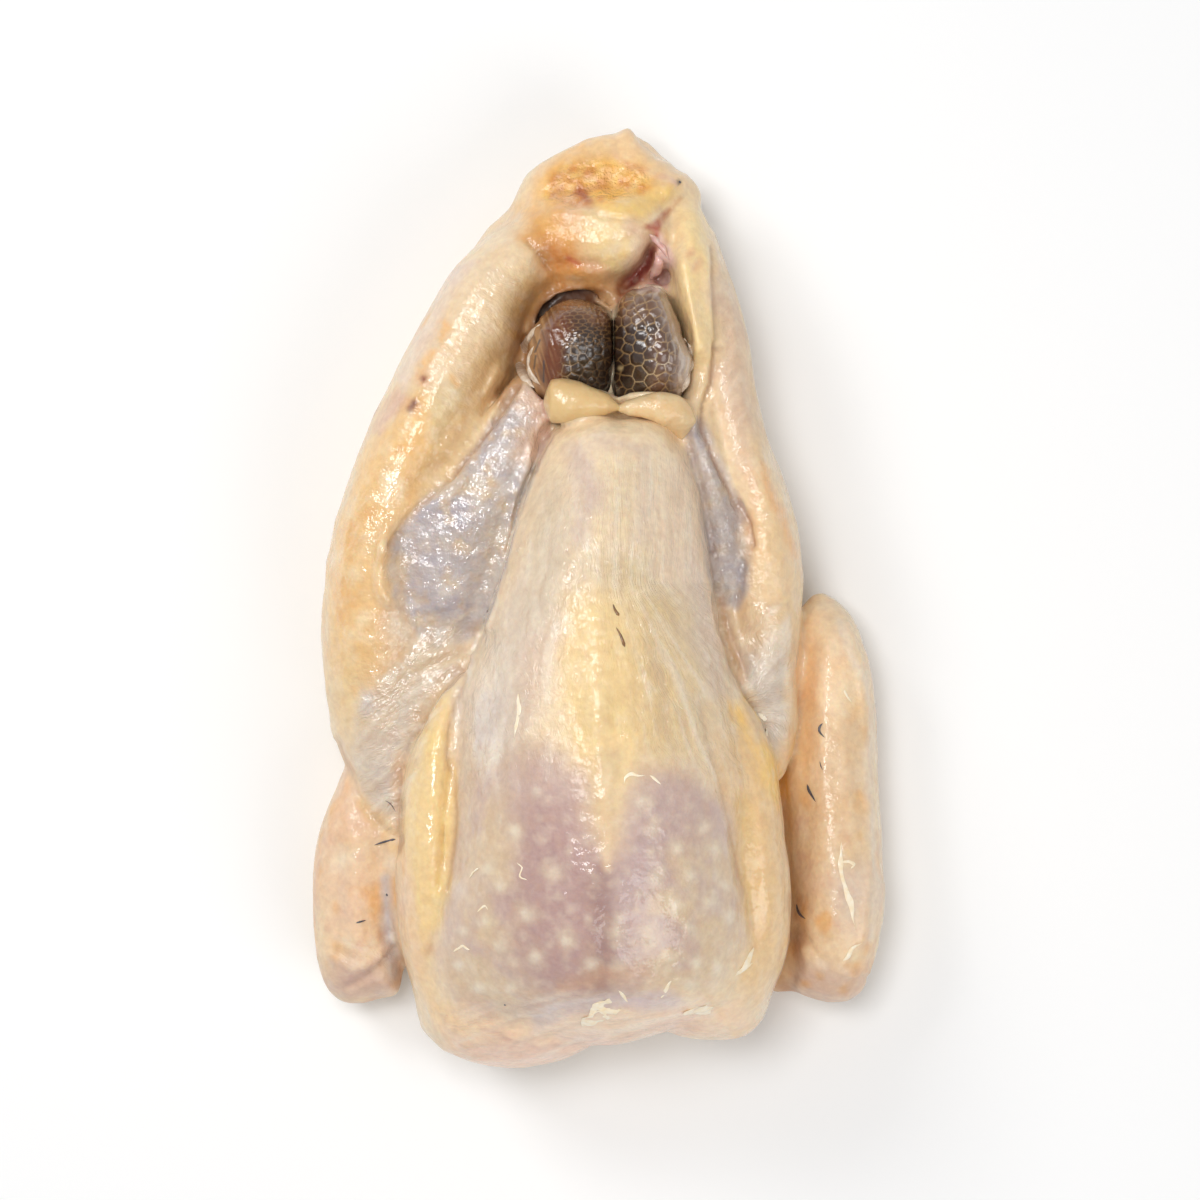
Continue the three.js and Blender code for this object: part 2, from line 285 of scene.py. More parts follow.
# The faces under the bird and on its hidden sides are joined into larger ones.
normals = normals_of(skin)
unseen = skin.vertex_groups.new(name="unseen")
unseen.add(np.flatnonzero(normals[:, 2] < UNSEEN_SLOPE).tolist(), 1.0, "REPLACE")
skin.data.calc_loop_triangles()
thin = skin.modifiers.new("thin", "DECIMATE")
thin.ratio = min(1, MOST_TRIANGLES / len(skin.data.loop_triangles))
thin.vertex_group = "unseen"
thin.vertex_group_factor = 1
bpy.ops.object.modifier_apply(modifier=thin.name)
skin.vertex_groups.clear()

points = points_of(skin)
normals = normals_of(skin)
seen = as_seen(points)
facing_up = ease((normals[:, 2] + 0.25) / 0.5)
relief = np.zeros(len(points))

# Places that lie a little differently from the plain solid: where, how wide, and the way in mm
# that the skin is moved there, to the right, up the picture and off the board.
SHIFTS = [
    ([(-33.9, 45.6), (-40, 37.2),
      (-44.4, 31.7)], 8, (2.8, -0.3, 0)),  # valley beside the left drumstick
    ([(-53.9, 19.4), (-56.1, 11.1), (-56.7, 4.2)], 9, (-3.0, 0, 0)),
    ([(-26.1, 63.9), (-31.1, 56.1), (-36.7, 48.3), (-41.7, 41.1)], 5, (0, 0, 3.2)),
    ([(-27.2, 62.2), (-29.4, 57.2)], 4, (0, 0, 3.0)),
    ([(-24.2, 57.8), (-26.7, 53.3), (-29.2, 49.4)], 2.8, (0, 0, -1.6)),
    ([(-56.7, 13.3), (-57.5, 7.8), (-57.2, 2.2)], 6, (0, 0, 3.4)),
    ([(-41.7, 33.9), (-50, 25.8), (-55.3, 19.4), (-57.2, 14.4)], 6, (0, 0, 3.4)),
    ([(-13.3, 45.6), (-15.8, 36.1), (-18.6, 26.4), (-20.8, 15.3), (-24.2, 4.2),
      (-28.1, -6.1)], 6, (-2.6, 0, 0)),  # edge of the breast
    ([(-17.2, 40.3), (-19.7, 33.3), (-22.5, 25), (-25.3, 13.9), (-28.6, 3.1),
      (-32.2, -6.1)], 4.8, (0, 0, 3.8)),
    ([(33.9, 1.1), (36.1, -11.1), (40.3, -22.2)], 4, (0, 0, 2.2)),
    ([(-10.6, 56.7), (-6.7, 55.8), (-2.8, 55.3), (1.1, 53.9),
      (5.6, 52.2)], 5, (0, 0, -4.0)),  # under the fat
    ([(-15, 48.3), (-12.8, 48.9), (-11.1, 48.9)], 4, (0, 0, 2.6)),
    ([(6.1, 52.2), (10, 53.3), (13.9, 53.6), (17.8, 53.3), (21.1, 51.7), (22.8, 48.3),
      (22.2, 45)], 5, (0, 0, -4.5)),
    ([(-12.2, 88.9), (-6.9, 89.7), (0, 89.4)], 5, (0, 0, 2.6)),  # roll behind the hocks
    ([(-38.9, -29.2), (-38.9, -37.5), (-37.8, -50), (-38.1, -63.9),
      (-39.4, -75)], 5, (0, 0, -2.0)),  # beside the left shoulder roll
    ([(14.4, 100), (11.7, 93.9), (7.2, 87.8)], 3.4, (0, 0, -3.0)),  # gash
    ([(58.9, -11.1), (57.2, -27.8), (55.6, -55.6), (55, -83.3)], 6, (0, 0, -2.0)),  # flatter wings
    ([(72.8, -27.8), (75, -50), (75.6, -72.2)], 7, (0, 0, -2.2)),
    ([(-72.2, -69.4), (-73.9, -83.3), (-73.3, -97.2)], 6, (0, 0, -2.0)),
    ([(8.1, 132.2), (8.3, 129.4)], 5, (0, 1.9, 0)),  # tip of the tail
    ([(12.8, 129.4), (16.7, 126.1)], 6, (-0.8, -2.2, 0)),
    ([(1.1, 130.6), (-2.8, 129.4)], 6, (0, 0.8, 0)),
    ([(17.2, 112.2), (21.1, 113.9), (25, 114.4)], 7, (0.8, 0.8, 0)),
    ([(-57.8, -106.9), (-55, -111.1)], 6, (1.2, -1.8, 0)),  # lower corners of the wings
    ([(50, -108.3), (53.3, -112.2)], 6, (-1.5, -1.8, 0)),
    ([(74.4, -16.7), (77.8, -33.3)], 7, (0.8, 0, 0)),
    ([(1.7, 109.7), (11.1, 111.1),
      (18.9, 115)], 5, (0, 0, 1.6)),  # band of fat under the tail's patch
    ([(-15.3, 93.9), (-12.2, 90)], 6, (0, 0, -1.6)),  # hollow beside the vent
    ([(25.6, 101.1), (24.4, 91.7), (26.1, 80.6),
      (28.3, 69.4)], 6, (0, 0, 2.0)),  # belt beside the right hock
    ([(20.6, 93.9), (22.2, 86.1), (24.2, 78.3), (26.1, 70.8)], 6, (0, 0, 4.5)),
    ([(35.6, 75), (38.1, 58.3), (40, 41.7)], 6, (0, 0, -1.3)),  # flatter right leg
    ([(-16.4, 77.2), (-14.2, 80.8), (-10.6, 83.1),
      (-4.4, 83.3)], 2.8, (0, 0, -2.5)),  # pit behind the left hock
    ([(30.8, 98.9), (31.1, 88.9), (31.7, 77.8), (31.9, 69.4)], 4, (0, 0, 1.8)),
    ([(23.3, 117.2), (25, 115.6), (27.2, 112.2)], 4, (0.6, 0.5, 0)),
]
for line, width, way in SHIFTS:
    points += np.array(way) * (stroke(seen, line, width) * facing_up)[:, None]
put_points(skin, points)
seen = as_seen(points)
normals = normals_of(skin)

# Lines where two parts of the bird press together, with their depth and half width in mm and how
# much painted shade darkens them, from 0 to 1.
CREASES = [
    # behind the hocks
    ([(-16.4, 76.7), (-14.4, 80.8), (-11.1, 83.3), (-6.9, 84.4), (-1.4, 84.7),
      (2.5, 83.3)], 3.5, 2.2, 0),
    # left leg roll and drumstick
    ([(-22.8, 60), (-29.4, 49.7), (-35, 41.9), (-41.7, 33.9)], 1.3, 1.7, 0.8),
    ([(-41.7, 33.9), (-50, 26.4), (-55.3, 20.3), (-58.1, 15.3)], 0.9, 1.7, 0.35),
    ([(-58.1, 15.3), (-59.2, 9.7), (-58.9, 5.6)], 0.25, 1.6, 0.1),
    # left leg roll and tail
    ([(-20.6, 100), (-16.4, 95.6), (-13.6, 91.1), (-11.4, 86.9)], 0.8, 1.6, 0.5),
    # breast and left leg
    ([(-13.9, 45), (-19.2, 36.1), (-22.5, 28.1), (-25.6, 13.9), (-28.6, 3.1), (-32.5, -6.9),
      (-35.6, -14.4), (-38.3, -18.9)], 0.6, 1.4, 0),
    # left shoulder roll, outer edge
    ([(-38.1, -18.9), (-43.1, -25), (-48.9, -31.9), (-53.9, -40), (-56.1, -48.1),
      (-56.4, -70)], 1.1, 2.5, 0.7),
    # left shoulder roll, inner edge
    ([(-37.2, -21.1), (-40.3, -29.4), (-41.9, -36.1), (-42.2, -43.3), (-40.8, -50), (-40, -58.9),
      (-40.8, -69.4), (-42.5, -80)], 0.6, 1.6, 0.4),
    # breast and right leg
    ([(24.4, 43.9), (26.4, 37.2), (28.6, 29.4), (30.3, 21.9), (31.4, 16.4), (31.7, 11.1),
      (32.5, 5), (32.2, 0), (33.6, -8.1), (36.9, -16.9), (41.1, -26.1),
      (46.1, -33.1)], 1.3, 1.6, 0.35),
    # right shoulder roll, inner edge
    ([(28.1, -28.1), (31.1, -43.9), (33.9, -53.1), (37.5, -68.9), (39.4, -78.1)], 0.7, 3, 0.3),
    # belt of skin and right leg
    ([(31.1, 98.3), (32.2, 83.1), (32.8, 70.8)], 0.6, 1.4, 0.5),
    ([(32.8, 70.8), (31.1, 60), (28.9, 55), (28.6, 46.9), (31.9, 38.9), (37.5, 28.1),
      (41.1, 21.1), (42.2, 15)], 1.5, 2.0, 0.8),
    # thigh and left wing
    ([(-73.1, -40), (-71.1, -46.1), (-66.1, -56.9), (-61.1, -62.5),
      (-56.1, -66.9)], 0.9, 2.3, 0.35),
    # folds between the left thigh and the breast
    ([(-36.1, -13.9), (-43.9, -16.9), (-51.1, -20), (-55.6, -22.8)], 0.7, 1.3, 0.15),
    ([(-36.1, -16.9), (-43.1, -21.9), (-46.9, -28.1), (-50.6, -31.7)], 0.7, 1.3, 0.15),
    ([(-33.9, -8.9), (-41.1, -10), (-48.1, -13.9), (-52.2, -15)], 0.5, 1.3, 0.1),
    # tail flap and vent roll
    ([(-20, 107.8), (-14.4, 109.2), (-6.9, 109.4)], 0.5, 2, 0),
    ([(0, 106.7), (8.3, 105.6), (14.4, 107.2), (18.9, 111.1), (21.7, 114.4)], 1.0, 1.6, 0),
    # right wing, folded tip against forearm
    ([(75.6, -11.1), (77.2, -33.3), (78.3, -55.6), (78.9, -77.8)], 0.5, 1.5, 0),
    # left wing, fold at its lower end
    ([(-59.4, -100.6), (-63.3, -104.2), (-68.9, -106.9), (-72.8, -108.3)], 0.7, 2, 0),
    # right wing, folds at its lower end
    ([(55.6, -90.3), (58.9, -97.2), (63.9, -103.3), (70, -106.1)], 0.7, 2, 0),
    ([(70, -100), (72.8, -104.2), (77.8, -106.1)], 0.6, 1.8, 0),
    # centre of the lower breast
    ([(0.8, -75), (1.7, -87.5), (0.8, -100)], 0.4, 4, 0),
    ([(-14.4, -70.8), (-10.6, -77.8), (-6.1, -84.7)], 0.3, 2, 0),
    # lip of neck skin under the breast
    ([(-27.8, -120.8), (-19.4, -117.2), (-11.1, -113.9), (0, -111.7), (11.1, -111.1),
      (22.8, -112.8)], 0.6, 3.0, 0),
    # skin over the hip beside the tail
    ([(-14.4, 97.8), (-13.3, 93.9), (-11.1, 87.5)], 0.5, 1.5, 0),
]
for line, depth, width, painted_shade in CREASES:
    relief -= depth * stroke(seen, line, width) * facing_up

# Raised lines: the keel of the breastbone, the edges of folds and the rim round the tail's patch.
WELTS = [
    ([(-2.2, 2.8), (-1.7, -13.9), (-0.8, -33.3)], 0.9, 7),
    ([(-0.8, -27.8), (0, -44.4), (0.6, -55.6)], 0.5, 5),
    ([(-34.4, -15.3), (-41.7, -18.9), (-47.8, -22.8), (-53.3, -27.8)], 0.5, 1.5),
    ([(-33.3, -11.1), (-40.3, -13.3), (-47.2, -15.6), (-52.2, -17.5)], 0.4, 1.4),
    ([(-17.8, 33.9), (-22.2, 24.4), (-24.7, 15.3), (-27.2, 5.6), (-30.6, -3.3), (-34.2, -12.5),
      (-36.1, -20), (-37.2, -27.8)], 0.5, 1.8),
    ([(-37.2, -20), (-42.8, -26.1), (-47.2, -32.2)], 0.6, 1.4),
    ([(-42.8, -27.8), (-45.6, -35), (-46.7, -42.2), (-45.6, -50.6), (-45, -59.7), (-46.1, -69.4),
      (-47.2, -80.6)], 0.9, 4.6),
    ([(29.2, -13.9), (32.2, -27.8), (36.1, -41.7), (40.3, -55.6), (41.7, -72.2)], 0.5, 2.5),
    ([(-27.8, -122.2), (-16.7, -119.4), (-5.6, -116.1), (11.1, -113.9)], 0.5, 3),
    ([(68.3, -6.9), (71.7, -16.7), (73.3, -33.3), (74.4, -55.6), (74.4, -77.8),
      (72.8, -94.4)], 0.7, 2.0),
    ([(62.2, -11.1), (61.1, -27.8), (61.7, -50), (63.9, -72.2), (65.6, -91.7)], 0.5, 4.5),
    ([(57.2, -97.2), (61.7, -102.2), (68.3, -104.4), (73.3, -103.3)], 0.8, 2.2),
    ([(55.6, -106.9), (61.7, -108.3), (68.3, -110)], 0.6, 2.2),
    ([(-68.9, -63.9), (-69.4, -77.8), (-67.8, -91.7), (-66.1, -101.4)], 0.6, 4.0),
    ([(-75, -98.6), (-69.4, -102.2), (-62.2, -100.6), (-58.9, -95.8)], 0.7, 2.2),
    ([(-15, 109.4), (-8.3, 107.8), (0, 106.1), (8.9, 105.6), (13.9, 107.2), (17.8, 110.6),
      (20, 114.4)], 0.7, 2.6),
]
for line, height, width in WELTS:
    relief += height * stroke(seen, line, width) * facing_up

# Loose skin and flesh are never quite even: height and size in mm of their swells and dimples.
SWELL_HEIGHT, SWELL_SIZE = 0.7, 22
DIMPLE_HEIGHT, DIMPLE_SIZE = 0.3, 7
relief += (SWELL_HEIGHT * mixed_grain(points, SWELL_SIZE, 1)
           + DIMPLE_HEIGHT * mixed_grain(points, DIMPLE_SIZE, 4))

# Small wrinkles across the keel, each a little bent and none quite like the next.
WRINKLES = 14
FIRST_WRINKLE = 3.333
WRINKLE_GAP = 3.194
WRINKLE_DEPTH = 0.3
for wrinkle in range(WRINKLES):
    level = FIRST_WRINKLE - wrinkle * WRINKLE_GAP - 0.833 * math.sin(wrinkle * 2.3)
    half = 2.5 + 1.389 * math.sin(wrinkle * 1.7) ** 2
    bow = 0.694 * math.cos(wrinkle * 1.3)
    middle = 0.833 * math.sin(wrinkle * 3.1) - 1.389
    line = [(middle - half, level), (middle, level - bow), (middle + half, level)]
    relief -= WRINKLE_DEPTH * stroke(seen, line, 0.9) * facing_up

# Where the skin is drawn into fine parallel lines, and which way they run there: across the lines
# and along them, in mm. The same lines are carried on more finely by the finish.
u, v = seen[:, 0], seen[:, 1]
across = np.where(u > 0, 60 * u / np.maximum(25 - v, 20), u * 170 / np.maximum(170 - v, 60))
along = v.copy()
lined = 0.8 * patch(
    seen,
    [(-11.1, 33.3), (2.8, 40.3), (15.3, 38.9), (26.7, 33.3), (30, 16.7), (33.9, -11.1),
     (40.3, -27.8), (41.1, -52.8), (33.3, -55.6), (25, -47.2), (13.9, -41.7), (2.8, -38.9),
     (-11.1, -47.2), (-27.8, -55.6), (-40.3, -55.6), (-42.2, -40.3), (-36.1, -25), (-27.8, 0),
     (-22.2, 16.7)],
    7,
)
lined = np.maximum(lined, patch(seen, [(-28.9, 2.8), (-24.4, -5.6), (-26.1, -27.8), (-27.8, -50),
                                       (-38.3, -52.8), (-38.3, -27.8), (-35, -13.9)], 3))
lined *= 1 - 0.7 * patch(seen, [(-7.8, 0), (11.1, 2.8), (12.5, -38.9), (3.3, -72.2),
                                (-2.8, -72.2), (-11.1, -38.9)], 4)
LINED_FIELDS = [
    # left thigh, where its skin gathers under the breast
    ([(-32.8, 0), (-33.9, -16.7), (-40.3, -27.8), (-47.2, -40.3), (-56.1, -69.4), (-63.3, -65.3),
      (-69.4, -47.2), (-69.4, -27.8), (-55.6, -16.7), (-47.2, -5.6)],
     0.60, -0.80, 0.9, 4),
    # upper left leg roll, across its length
    ([(-20.8, 100), (-15.3, 88.9), (-19.4, 75), (-36.1, 50), (-55.6, 50), (-47.2, 72.2),
      (-36.1, 91.7)], 0.62, 0.78, 0.35, 5),
    # right leg, slanting
    ([(31.1, 91.7), (37.5, 88.9), (42.2, 55.6), (44.4, 36.1), (37.5, 33.3),
      (32.2, 55.6)], 0.75, -0.65, 0.55, 4),
    # left wing and neck skin, across
    ([(-75, -91.7), (-55.6, -91.7), (-54.2, -111.1), (-76.4, -111.1)], 0.5, 0.86, 0.6, 4),
    ([(-36.1, -131.9), (-47.2, -113.9), (-11.1, -106.9), (27.8, -106.9), (38.9, -122.2),
      (0, -133.3)], -0.25, 0.97, 0.7, 4),
]
calm = np.ones(len(points))  # 0 where two ways of the lines meet
for outline, along_u, along_v, strength, soft in LINED_FIELDS:
    here = patch(seen, outline, soft)
    calm = np.minimum(calm, ease(np.abs(here - 0.5) / 0.3))
    across = np.where(here > 0.5, along_u * u + along_v * v, across)
    along = np.where(here > 0.5, along_v * u - along_u * v, along)
    lined = lined * ease(1 - 2 * here) + strength * ease(2 * here - 1)
# right thigh, folds that spread like a fan from the shoulder roll
FAN_ROOT = (37.2, -29.4)
fan_here = patch(seen, [(36.7, -11.1), (40.3, 0), (52.8, 0), (55.6, -16.7), (52.8, -44.4),
                        (45.8, -40.3), (40.3, -27.8)], 3)
calm = np.minimum(calm, ease(np.abs(fan_here - 0.5) / 0.3))
turn = np.arctan2(v - FAN_ROOT[1], u - FAN_ROOT[0])
from_root = np.hypot(v - FAN_ROOT[1], u - FAN_ROOT[0])
across = np.where(fan_here > 0.5, turn * 14, across)
along = np.where(fan_here > 0.5, from_root, along)
lined = lined * ease(1 - 2 * fan_here) + ease(2 * fan_here - 1)

# how far apart the lines are and how long they run, and how high they stand, in mm
LINE, FINER_LINE, LINE_HEIGHT = [2.3, 9], [1.4, 5], 0.13
WIDE_LINE, WIDE_LINE_HEIGHT = [5.5, 30], 0.15
STRAND, STRAND_HEIGHT = [1.5, 26], 0.06
line_places = np.stack([across, along], axis=1)
strayed = line_places + 1.4 * np.stack([grain(seen, 8, 24), grain(seen, 8, 25)], axis=1)
lines = grain(strayed / LINE, 1, 21) + 0.5 * grain(strayed / FINER_LINE, 1, 22)
wide_lines = grain(line_places / WIDE_LINE, 1, 23)
strands = grain(strayed / STRAND, 1, 26)
relief += lined * facing_up * (
    LINE_HEIGHT * lines + WIDE_LINE_HEIGHT * wide_lines + STRAND_HEIGHT * strands)

# Where bare skin crinkles over the flesh of the drumsticks and the thigh.
LEFT_DRUMSTICK = [(-23.1, 60), (-19.4, 59.4), (-15, 55.6), (-14.2, 45), (-19.4, 33.9),
                  (-24.7, 16.7), (-29.4, 0), (-35, -11.1), (-44.4, -12.8), (-52.8, -7.8),
                  (-57.8, 1.7), (-58.9, 9.4), (-58.1, 15.3), (-54.2, 21.4), (-50, 26.4),
                  (-42.5, 33.1), (-35, 41.9), (-29.4, 49.7)]
RIGHT_DRUMSTICK = [(23.3, 48.3), (28.3, 50), (33.9, 36.7), (40.8, 22.2), (42.8, 13.3),
                   (41.1, 3.3), (38.3, -2.2), (33.9, -1.1), (31.1, 7.8), (28.9, 22.2), (25.6, 37.2)]
crinkled = np.maximum(patch(seen, LEFT_DRUMSTICK, 2.5), patch(seen, RIGHT_DRUMSTICK, 2.0))
thigh_crinkle = patch(seen, [(-57.8, 2.8), (-52.8, -11.1), (-36.1, -15.3), (-40.3, -25),
                             (-55.6, -44.4), (-69.4, -38.9), (-72.2, -11.1)], 5)
CRACKLE_SIZE, FINE_CRACKLE_SIZE, PUCKER_SIZE = 4.4, 2.6, 3.4
bend = np.stack([grain(points, 7, 31), grain(points, 7, 32), grain(points, 7, 33)], axis=1)
crackle = ridges(points + 1.8 * bend, CRACKLE_SIZE, 34)
fine_crackle = ridges(points + 1.2 * bend, FINE_CRACKLE_SIZE, 35)
drawn_in = grain(points / [1, 1, 1.6], PUCKER_SIZE, 36)
relief += facing_up * crinkled * (0.32 * crackle + 0.2 * fine_crackle + 0.4 * drawn_in - 0.16)
relief += facing_up * thigh_crinkle * (0.12 * crackle + 0.1 * fine_crackle + 0.2 * drawn_in)

# Where the fat under the skin is lumpy.
lumpy = np.maximum.reduce([
    patch(seen, [(-75, -11.1), (-72.2, 22.2), (-68.9, 33.3), (-59.7, 44.4), (-54.2, 36.1),
                 (-55.6, 16.7), (-57.8, -5.6), (-55.6, -27.8), (-69.4, -33.3)],
          6),
    0.6 * patch(seen, [(-47.2, 75), (-33.3, 91.7), (-22.2, 88.9), (-36.1, 61.1), (-50, 47.2),
                       (-61.1, 36.1), (-58.3, 50)], 5),
    0.7 * patch(seen, [(-27.8, -5.6), (-11.1, 2.8), (-7.8, -27.8), (-11.1, -47.2), (-25, -44.4),
                       (-30, -27.8)], 5),
    0.6 * patch(seen, [(-19.4, 109.7), (18.1, 109.7), (13.9, 88.9), (-11.1, 87.5),
                       (-19.4, 100)], 4),
    0.5 * patch(seen, [(55.6, 0), (75, 0), (79.2, -111.1), (55.6, -111.1)], 6),
    0.5 * patch(seen, [(-77.8, -52.8), (-58.3, -52.8), (-56.9, -111.1), (-77.8, -111.1)], 6),
    0.8 * patch(seen, [(42.2, 44.4), (52.8, 36.1), (55.6, 0), (44.4, -11.1), (39.4, 11.1)], 4),
])
LUMP_SIZE, SMALL_LUMP_SIZE, LUMP_HEIGHT = 4.2, 2.4, 0.26
lumps = grain(points, LUMP_SIZE, 41) + 0.5 * grain(points, SMALL_LUMP_SIZE, 42)
relief += facing_up * lumpy * LUMP_HEIGHT * lumps

# The raw patch on the tail, torn and uneven.
CRATER = [(-15, 112.2), (-13.9, 117.2), (-9.4, 121.1), (0, 122.8), (10, 121.1), (14.4, 117.8),
          (13.3, 113.3), (3.3, 110.3), (-6.9, 109.4), (-12.5, 110)]
raw = patch(seen, CRATER, 2)
relief += raw * (0.9 * mixed_grain(points, 3.4, 51) + 0.25 * grain(points, 1.7, 53) - 0.45)


# Feather pits that stand up white on the lower breast, large and small.
LARGE_PITS = [(-23.6, -64.4), (-31.7, -75), (-27.8, -80), (-20.3, -87.5), (-32.8, -89.4),
              (-38.1, -91.7), (-18.1, -99.2), (-38.9, -101.4), (-33.3, -107.8), (-24.7, -107.8),
              (-27.8, -95.8), (13.3, -63.3), (21.7, -69.4), (31.1, -69.4), (15.3, -77.8),
              (25.6, -76.9), (34.4, -79.2), (21.1, -84.7), (30.3, -84.7), (25, -91.7),
              (35.3, -88.3), (4.4, -92.2), (13.9, -93.9), (18.9, -98.6), (25.8, -100.6),
              (32.2, -102.2), (5, -102.2), (37.5, -95.8), (27.8, -63.3), (25, -106.9),
              (-17.2, -53.3), (11.1, -55.6), (-12.5, -75), (-9.7, -94.4), (-2.8, -101.4)]
LARGE_PIT, SMALL_PIT, SMALL_PIT_GAP = 2.7, 2.2, 6.5
LARGE_PIT_HEIGHT, SMALL_PIT_HEIGHT = 0.22, 0.16
large_pits = dots(seen, LARGE_PITS, LARGE_PIT)
small_pits = strewn(seen, SMALL_PIT_GAP, SMALL_PIT, 61) * (1 - dots(seen, LARGE_PITS, 4.5))
pitted = patch(seen, [(-41.7, -63.9), (-27.8, -55.6), (0, -52.8), (27.8, -52.8), (40.3, -69.4),
                      (40.3, -105.6), (27.8, -115.3), (0, -111.1), (-27.8, -113.9),
                      (-41.1, -97.2)], 8)
relief += facing_up * (LARGE_PIT_HEIGHT * large_pits + SMALL_PIT_HEIGHT * small_pits * pitted)

# Fine feather pits over the rest of the bird.
FINE_PIT, FINE_PIT_GAP, FINE_PIT_HEIGHT = 1.2, 4.6, 0.13
fine_pits = strewn(seen, FINE_PIT_GAP, FINE_PIT, 62)
plain_skin = (1 - crinkled) * (1 - 0.8 * lined) * (1 - pitted) * (1 - raw)
relief += FINE_PIT_HEIGHT * fine_pits * plain_skin

points = points + normals * relief[:, None]
points[:, 2] = np.maximum(points[:, 2], 0)
put_points(skin, points)
normals = normals_of(skin)

# The colours, laid on from the widest to the smallest. Edges are loosened so that none is drawn.
CREAM = (238, 213, 174)
tint = np.ones((len(points), 4))
tint[:, :3] = shade(CREAM)
shown = ease((normals[:, 2] + 0.45) / 0.5)
loosen = np.stack([mixed_grain(points, 11, 71), mixed_grain(points, 11, 74)], axis=1)
steep = ease((0.5 - normals[:, 2]) / 0.5)[:, None]  # 1 on upright sides
STRAY, SIDE_STRAY = 3.0, 7.0  # how far in mm a colour's edge strays, and how much more there
LEAST_STRAY, LEAST_SIDE_STRAY = 0.9, 5.0
loose = seen + (STRAY + SIDE_STRAY * steep) * loosen
barely_loose = seen + (LEAST_STRAY + LEAST_SIDE_STRAY * steep) * loosen


def paint(where, colour, amount=1.0):
    """Lays a colour on where it says, over those laid before."""
    share = (np.clip(where * amount, 0, 1) * shown)[:, None]
    tint[:, :3] += (shade(colour) - tint[:, :3]) * share


clouds = mixed_grain(points, 20, 81)
patches = mixed_grain(points, 8, 84)
specks = mixed_grain(points, 2.6, 87)
everywhere = np.ones(len(points))
shown_before, shown = shown, everywhere
paint(ease(clouds * 1.5), (243, 222, 186), 0.7)
paint(ease(-clouds * 1.5), (232, 196, 148), 0.6)
paint(ease(patches * 1.6), (236, 203, 164), 0.45)
shown = shown_before

# left leg roll
LEFT_ROLL = [(-21.7, 102.2), (-33.3, 93.9), (-42.8, 83.3), (-52.2, 65.3), (-58.9, 48.6),
             (-68.9, 33.3), (-74.2, 16.7), (-77.2, 0), (-76.1, -22.2), (-72.2, -40.3),
             (-55.6, -27.8), (-57.8, -11.1), (-58.3, 11.1), (-55.6, 22.2), (-44.4, 30.6),
             (-30.6, 48.6), (-22.2, 59.7), (-15.3, 72.2), (-12.2, 86.1)]
paint(patch(loose, LEFT_ROLL, 4), (234, 204, 154), 0.8)
# Painted shade on the roll's inner side, which faces away from the light, darkest down beside the
# hock.
paint(stroke(loose, [(-20, 83.3), (-26.1, 72.2), (-34.4, 59.7), (-43.1, 45.8),
                     (-52.2, 31.9)], 10), (210, 168, 112), 0.8)
paint(stroke(loose, [(-14.4, 84.4), (-17.8, 75), (-22.2, 65), (-27.8, 56.1)], 6),
                     (172, 120, 76), 0.75)
# Paler skin along the roll's ridge, with a painted highlight laid along it.
paint(stroke(loose, [(-25, 98.3), (-34.7, 87.5), (-41.7, 73.6), (-44.4, 63.9)], 11),
                     (240, 214, 178), 0.8)
paint(stroke(loose, [(-36.1, 93.9), (-44.4, 83.3), (-50, 69.4), (-54.2, 61.1)], 5),
                     (232, 209, 194), 0.7)
paint(stroke(loose, [(-41.1, 57.8), (-47.2, 47.2), (-54.2, 36.1)], 8), (226, 202, 152), 0.7)
paint(patch(loose, [(-56.9, 55.6), (-48.6, 48.6), (-51.4, 33.3), (-56.1, 16.7), (-57.8, -5.6),
                    (-63.9, -16.7), (-75.6, -19.4), (-76.1, 2.8), (-71.7, 22.2),
                    (-65.3, 38.3)], 6), (241, 197, 134), 0.85)
paint(patch(loose, [(-76.1, 2.8), (-71.7, 22.2), (-65.3, 38.3), (-59.7, 44.4), (-63.3, 27.8),
                    (-68.9, 11.1), (-70.6, -11.1)], 4),
      (243, 200, 138), 0.85)
paint(patch(loose, [(-44.4, 80.6), (-36.1, 83.3), (-40.3, 66.7), (-47.2, 59.7),
                    (-52.2, 63.3)], 5), (240, 208, 164), 0.5)
mottled = patch(loose, [(-55.6, 50), (-48.6, 48.6), (-51.4, 33.3), (-56.1, 16.7), (-56.1, -11.1),
                        (-55.6, -27.8), (-70.8, -33.3), (-75.6, -19.4), (-76.1, 2.8),
                        (-71.7, 22.2), (-65.3, 38.3)], 6)
paint(mottled * ease(lumps * 1.2), (247, 220, 176), 0.75)
paint(mottled * ease(-lumps * 1.2), (233, 174, 100), 0.55)
paint(stroke(loose, [(-44.2, 75.6), (-46.4, 70), (-48.3, 64.4)], 3.2) * ease(specks * 2 + 0.7),
                     (243, 176, 84), 0.6)
paint(stroke(barely_loose, [(-49.7, 55.6), (-50, 47.2), (-48.9, 41.7)], 4), (240, 186, 108), 0.6)
paint(stroke(loose, [(-56.1, 56.1), (-58.9, 52.2), (-61.7, 47.8)], 4) * ease(patches * 2 + 0.8),
                     (214, 168, 156), 0.55)
paint(stroke(barely_loose, [(-41.1, 61.9), (-39.4, 60)], 1.6), (244, 184, 90), 0.6)
paint(dots(barely_loose, [(-48.9, 61.1), (-52.5, 53.9)], 3.8), (222, 148, 82), 0.7)
paint(dots(barely_loose, [(-48.9, 61.1)], 1.7), (130, 32, 10), 0.95)
paint(stroke(barely_loose, [(-51.9, 54.7), (-53.1, 53.1)], 1.8), (112, 26, 10), 0.95)

